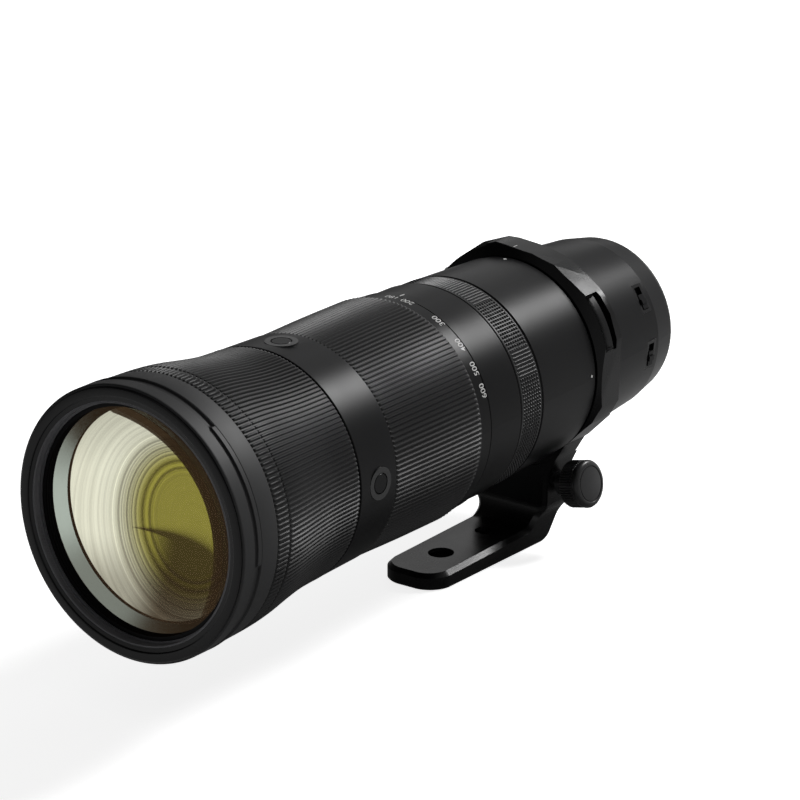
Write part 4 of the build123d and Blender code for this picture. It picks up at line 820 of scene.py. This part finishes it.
def makeFloor(p):
    # large plain sheet under the foot: matt white with a glow that makes it the white background and leaves
    # the shadow; in mirrors it is an even white emission with a painted contact shadow, darker towards the
    # object, by a smoothstep of the length of (x, squeeze * y + shift), times a smoothstep of x that paints
    # it darker at the left
    h = p["floorSize"]
    mesh = bpy.data.meshes.new("floorSheet")
    z = p["floorHeight"] * mm
    mesh.from_pydata([(-h, -h, z), (h, -h, z), (h, h, z), (-h, h, z)], [], [[0, 1, 2, 3]])
    newPiece("floorSheet", mesh)
    material, tree = newMaterial("paperFloor", bare=True)
    link = tree.links.new
    seen, mirrored = rayKinds(tree)
    out = addNode(tree, "ShaderNodeOutputMaterial")
    matte = addNode(tree, "ShaderNodeBsdfDiffuse", inputs={"Color": (*p["floorTone"], 1)})
    glow = addNode(tree, "ShaderNodeEmission")
    strength = addNode(tree, "ShaderNodeMath", {"operation": "MULTIPLY"})
    strength.inputs[1].default_value = p["floorGlow"]
    both = addNode(tree, "ShaderNodeAddShader")
    place = addNode(tree, "ShaderNodeTexCoord")
    squeeze = addNode(tree, "ShaderNodeMapping",
                      inputs={"Location": (0, p["floorShift"], 0), "Scale": (1, p["floorSqueeze"], 0)})
    away = addNode(tree, "ShaderNodeVectorMath", {"operation": "LENGTH"})
    # painted contact shadow in the floor's reflection, times painted shade at the left
    fade = smoothRange(tree, *p["paintedMirrorShadowAt"], *p["paintedMirrorShadow"])
    apart = addNode(tree, "ShaderNodeSeparateXYZ")
    side = smoothRange(tree, *p["paintedFloorShadeLeft"], p["leftDarkLevel"], 1.0)
    product = addNode(tree, "ShaderNodeMath", {"operation": "MULTIPLY"})
    reflex = addNode(tree, "ShaderNodeEmission")
    mix = addNode(tree, "ShaderNodeMixShader")
    link(seen, strength.inputs[0])
    link(strength.outputs[0], glow.inputs["Strength"])
    link(matte.outputs[0], both.inputs[0])
    link(glow.outputs[0], both.inputs[1])
    link(place.outputs["Object"], squeeze.inputs["Vector"])
    link(squeeze.outputs[0], away.inputs[0])
    link(away.outputs["Value"], fade.inputs["Value"])
    link(place.outputs["Object"], apart.inputs[0])
    link(apart.outputs["X"], side.inputs["Value"])
    link(fade.outputs["Result"], product.inputs[0])
    link(side.outputs["Result"], product.inputs[1])
    link(product.outputs[0], reflex.inputs["Strength"])
    link(mirrored, mix.inputs[0])
    link(both.outputs[0], mix.inputs[1])
    link(reflex.outputs[0], mix.inputs[2])
    link(mix.outputs[0], out.inputs[0])
    mesh.materials.append(material)


makeFloor(studio)


def makeWorld(p):
    # even soft surround, white for the camera; mirrors see it white at the horizon, darker overhead and
    # darker to the left, where a black flag stands: strength = sky(z) * side(x) of the ray's direction
    world = bpy.data.worlds.new("studioWorld")
    bpy.context.scene.world = world
    world.use_nodes = True
    tree = world.node_tree
    tree.nodes.clear()
    link = tree.links.new
    seen, mirrored = rayKinds(tree)
    out = addNode(tree, "ShaderNodeOutputWorld")
    soft = addNode(tree, "ShaderNodeBackground", inputs={"Strength": p["world"]})
    white = addNode(tree, "ShaderNodeBackground", inputs={"Color": (1, 1, 1, 1), "Strength": 1.0})
    reflex = addNode(tree, "ShaderNodeBackground", inputs={"Color": (1, 1, 1, 1)})
    way = addNode(tree, "ShaderNodeTexCoord")
    apart = addNode(tree, "ShaderNodeSeparateXYZ")
    sky = smoothRange(tree, p["skyFrom"], p["skyTo"], *p["mirrorSky"])
    side = smoothRange(tree, *p["skyFlag"], p["leftDarkLevel"], 1.0)
    product = addNode(tree, "ShaderNodeMath", {"operation": "MULTIPLY"})
    first = addNode(tree, "ShaderNodeMixShader")
    second = addNode(tree, "ShaderNodeMixShader")
    link(way.outputs["Generated"], apart.inputs[0])
    link(apart.outputs["Z"], sky.inputs["Value"])
    link(apart.outputs["X"], side.inputs["Value"])
    link(sky.outputs["Result"], product.inputs[0])
    link(side.outputs["Result"], product.inputs[1])
    link(product.outputs[0], reflex.inputs["Strength"])
    link(mirrored, first.inputs[0])
    link(soft.outputs[0], first.inputs[1])
    link(reflex.outputs[0], first.inputs[2])
    link(seen, second.inputs[0])
    link(first.outputs[0], second.inputs[1])
    link(white.outputs[0], second.inputs[2])
    link(second.outputs[0], out.inputs[0])


makeWorld(studio)

lamps = {
    "overheadSoftbox": {"at": (0.42, 1.0, 0.92), "aim": (0, -0.15, 0), "size": (0.5, 0.34), "power": 22.0},
    "leftPanel": {"at": (-0.85, 1.0, 0.5), "aim": (0, -0.2, 0), "size": (0.7, 0.5), "power": 0.9},
    "topPanel": {"at": (-0.35, 1.0, 0.95), "aim": (0, -0.15, 0), "size": (0.5, 0.5), "power": 0.8},
}


def makeLamps(setup):
    # rectangular area lamps aimed at a point of the lens
    for name, p in setup.items():
        light = bpy.data.lights.new(name, "AREA")
        light.shape = "RECTANGLE"
        light.size, light.size_y = p["size"]
        light.energy = p["power"]
        lamp = newPiece(name, light)
        lamp.location = p["at"]
        lamp.rotation_euler = (Vector(p["aim"]) - Vector(p["at"])).to_track_quat("-Z", "Y").to_euler()
        lamp.visible_camera = False


makeLamps(lamps)

# camera

cameraSettings = {"at": (1.04603, -1.53885, 0.61215), "azimuth": 36.906, "elevation": 19.288, "lens": 206.2}


def makeCamera(p):
    # the camera fitted to the photo; it looks along (-sin az cos el, cos az cos el, -sin el)
    az, el = math.radians(p["azimuth"]), math.radians(p["elevation"])
    back = Vector((math.sin(az) * math.cos(el), -math.cos(az) * math.cos(el), math.sin(el)))
    data = bpy.data.cameras.new("photoCamera")
    data.sensor_width = 36.0
    data.lens = p["lens"]
    data.clip_start, data.clip_end = 0.05, 50.0
    camera = newPiece("photoCamera", data)
    camera.location = p["at"]
    camera.rotation_euler = (-back).to_track_quat("-Z", "Y").to_euler()
    bpy.context.scene.camera = camera


makeCamera(cameraSettings)
bpy.context.scene.view_settings.view_transform = "Standard"
print("studio and camera ready")
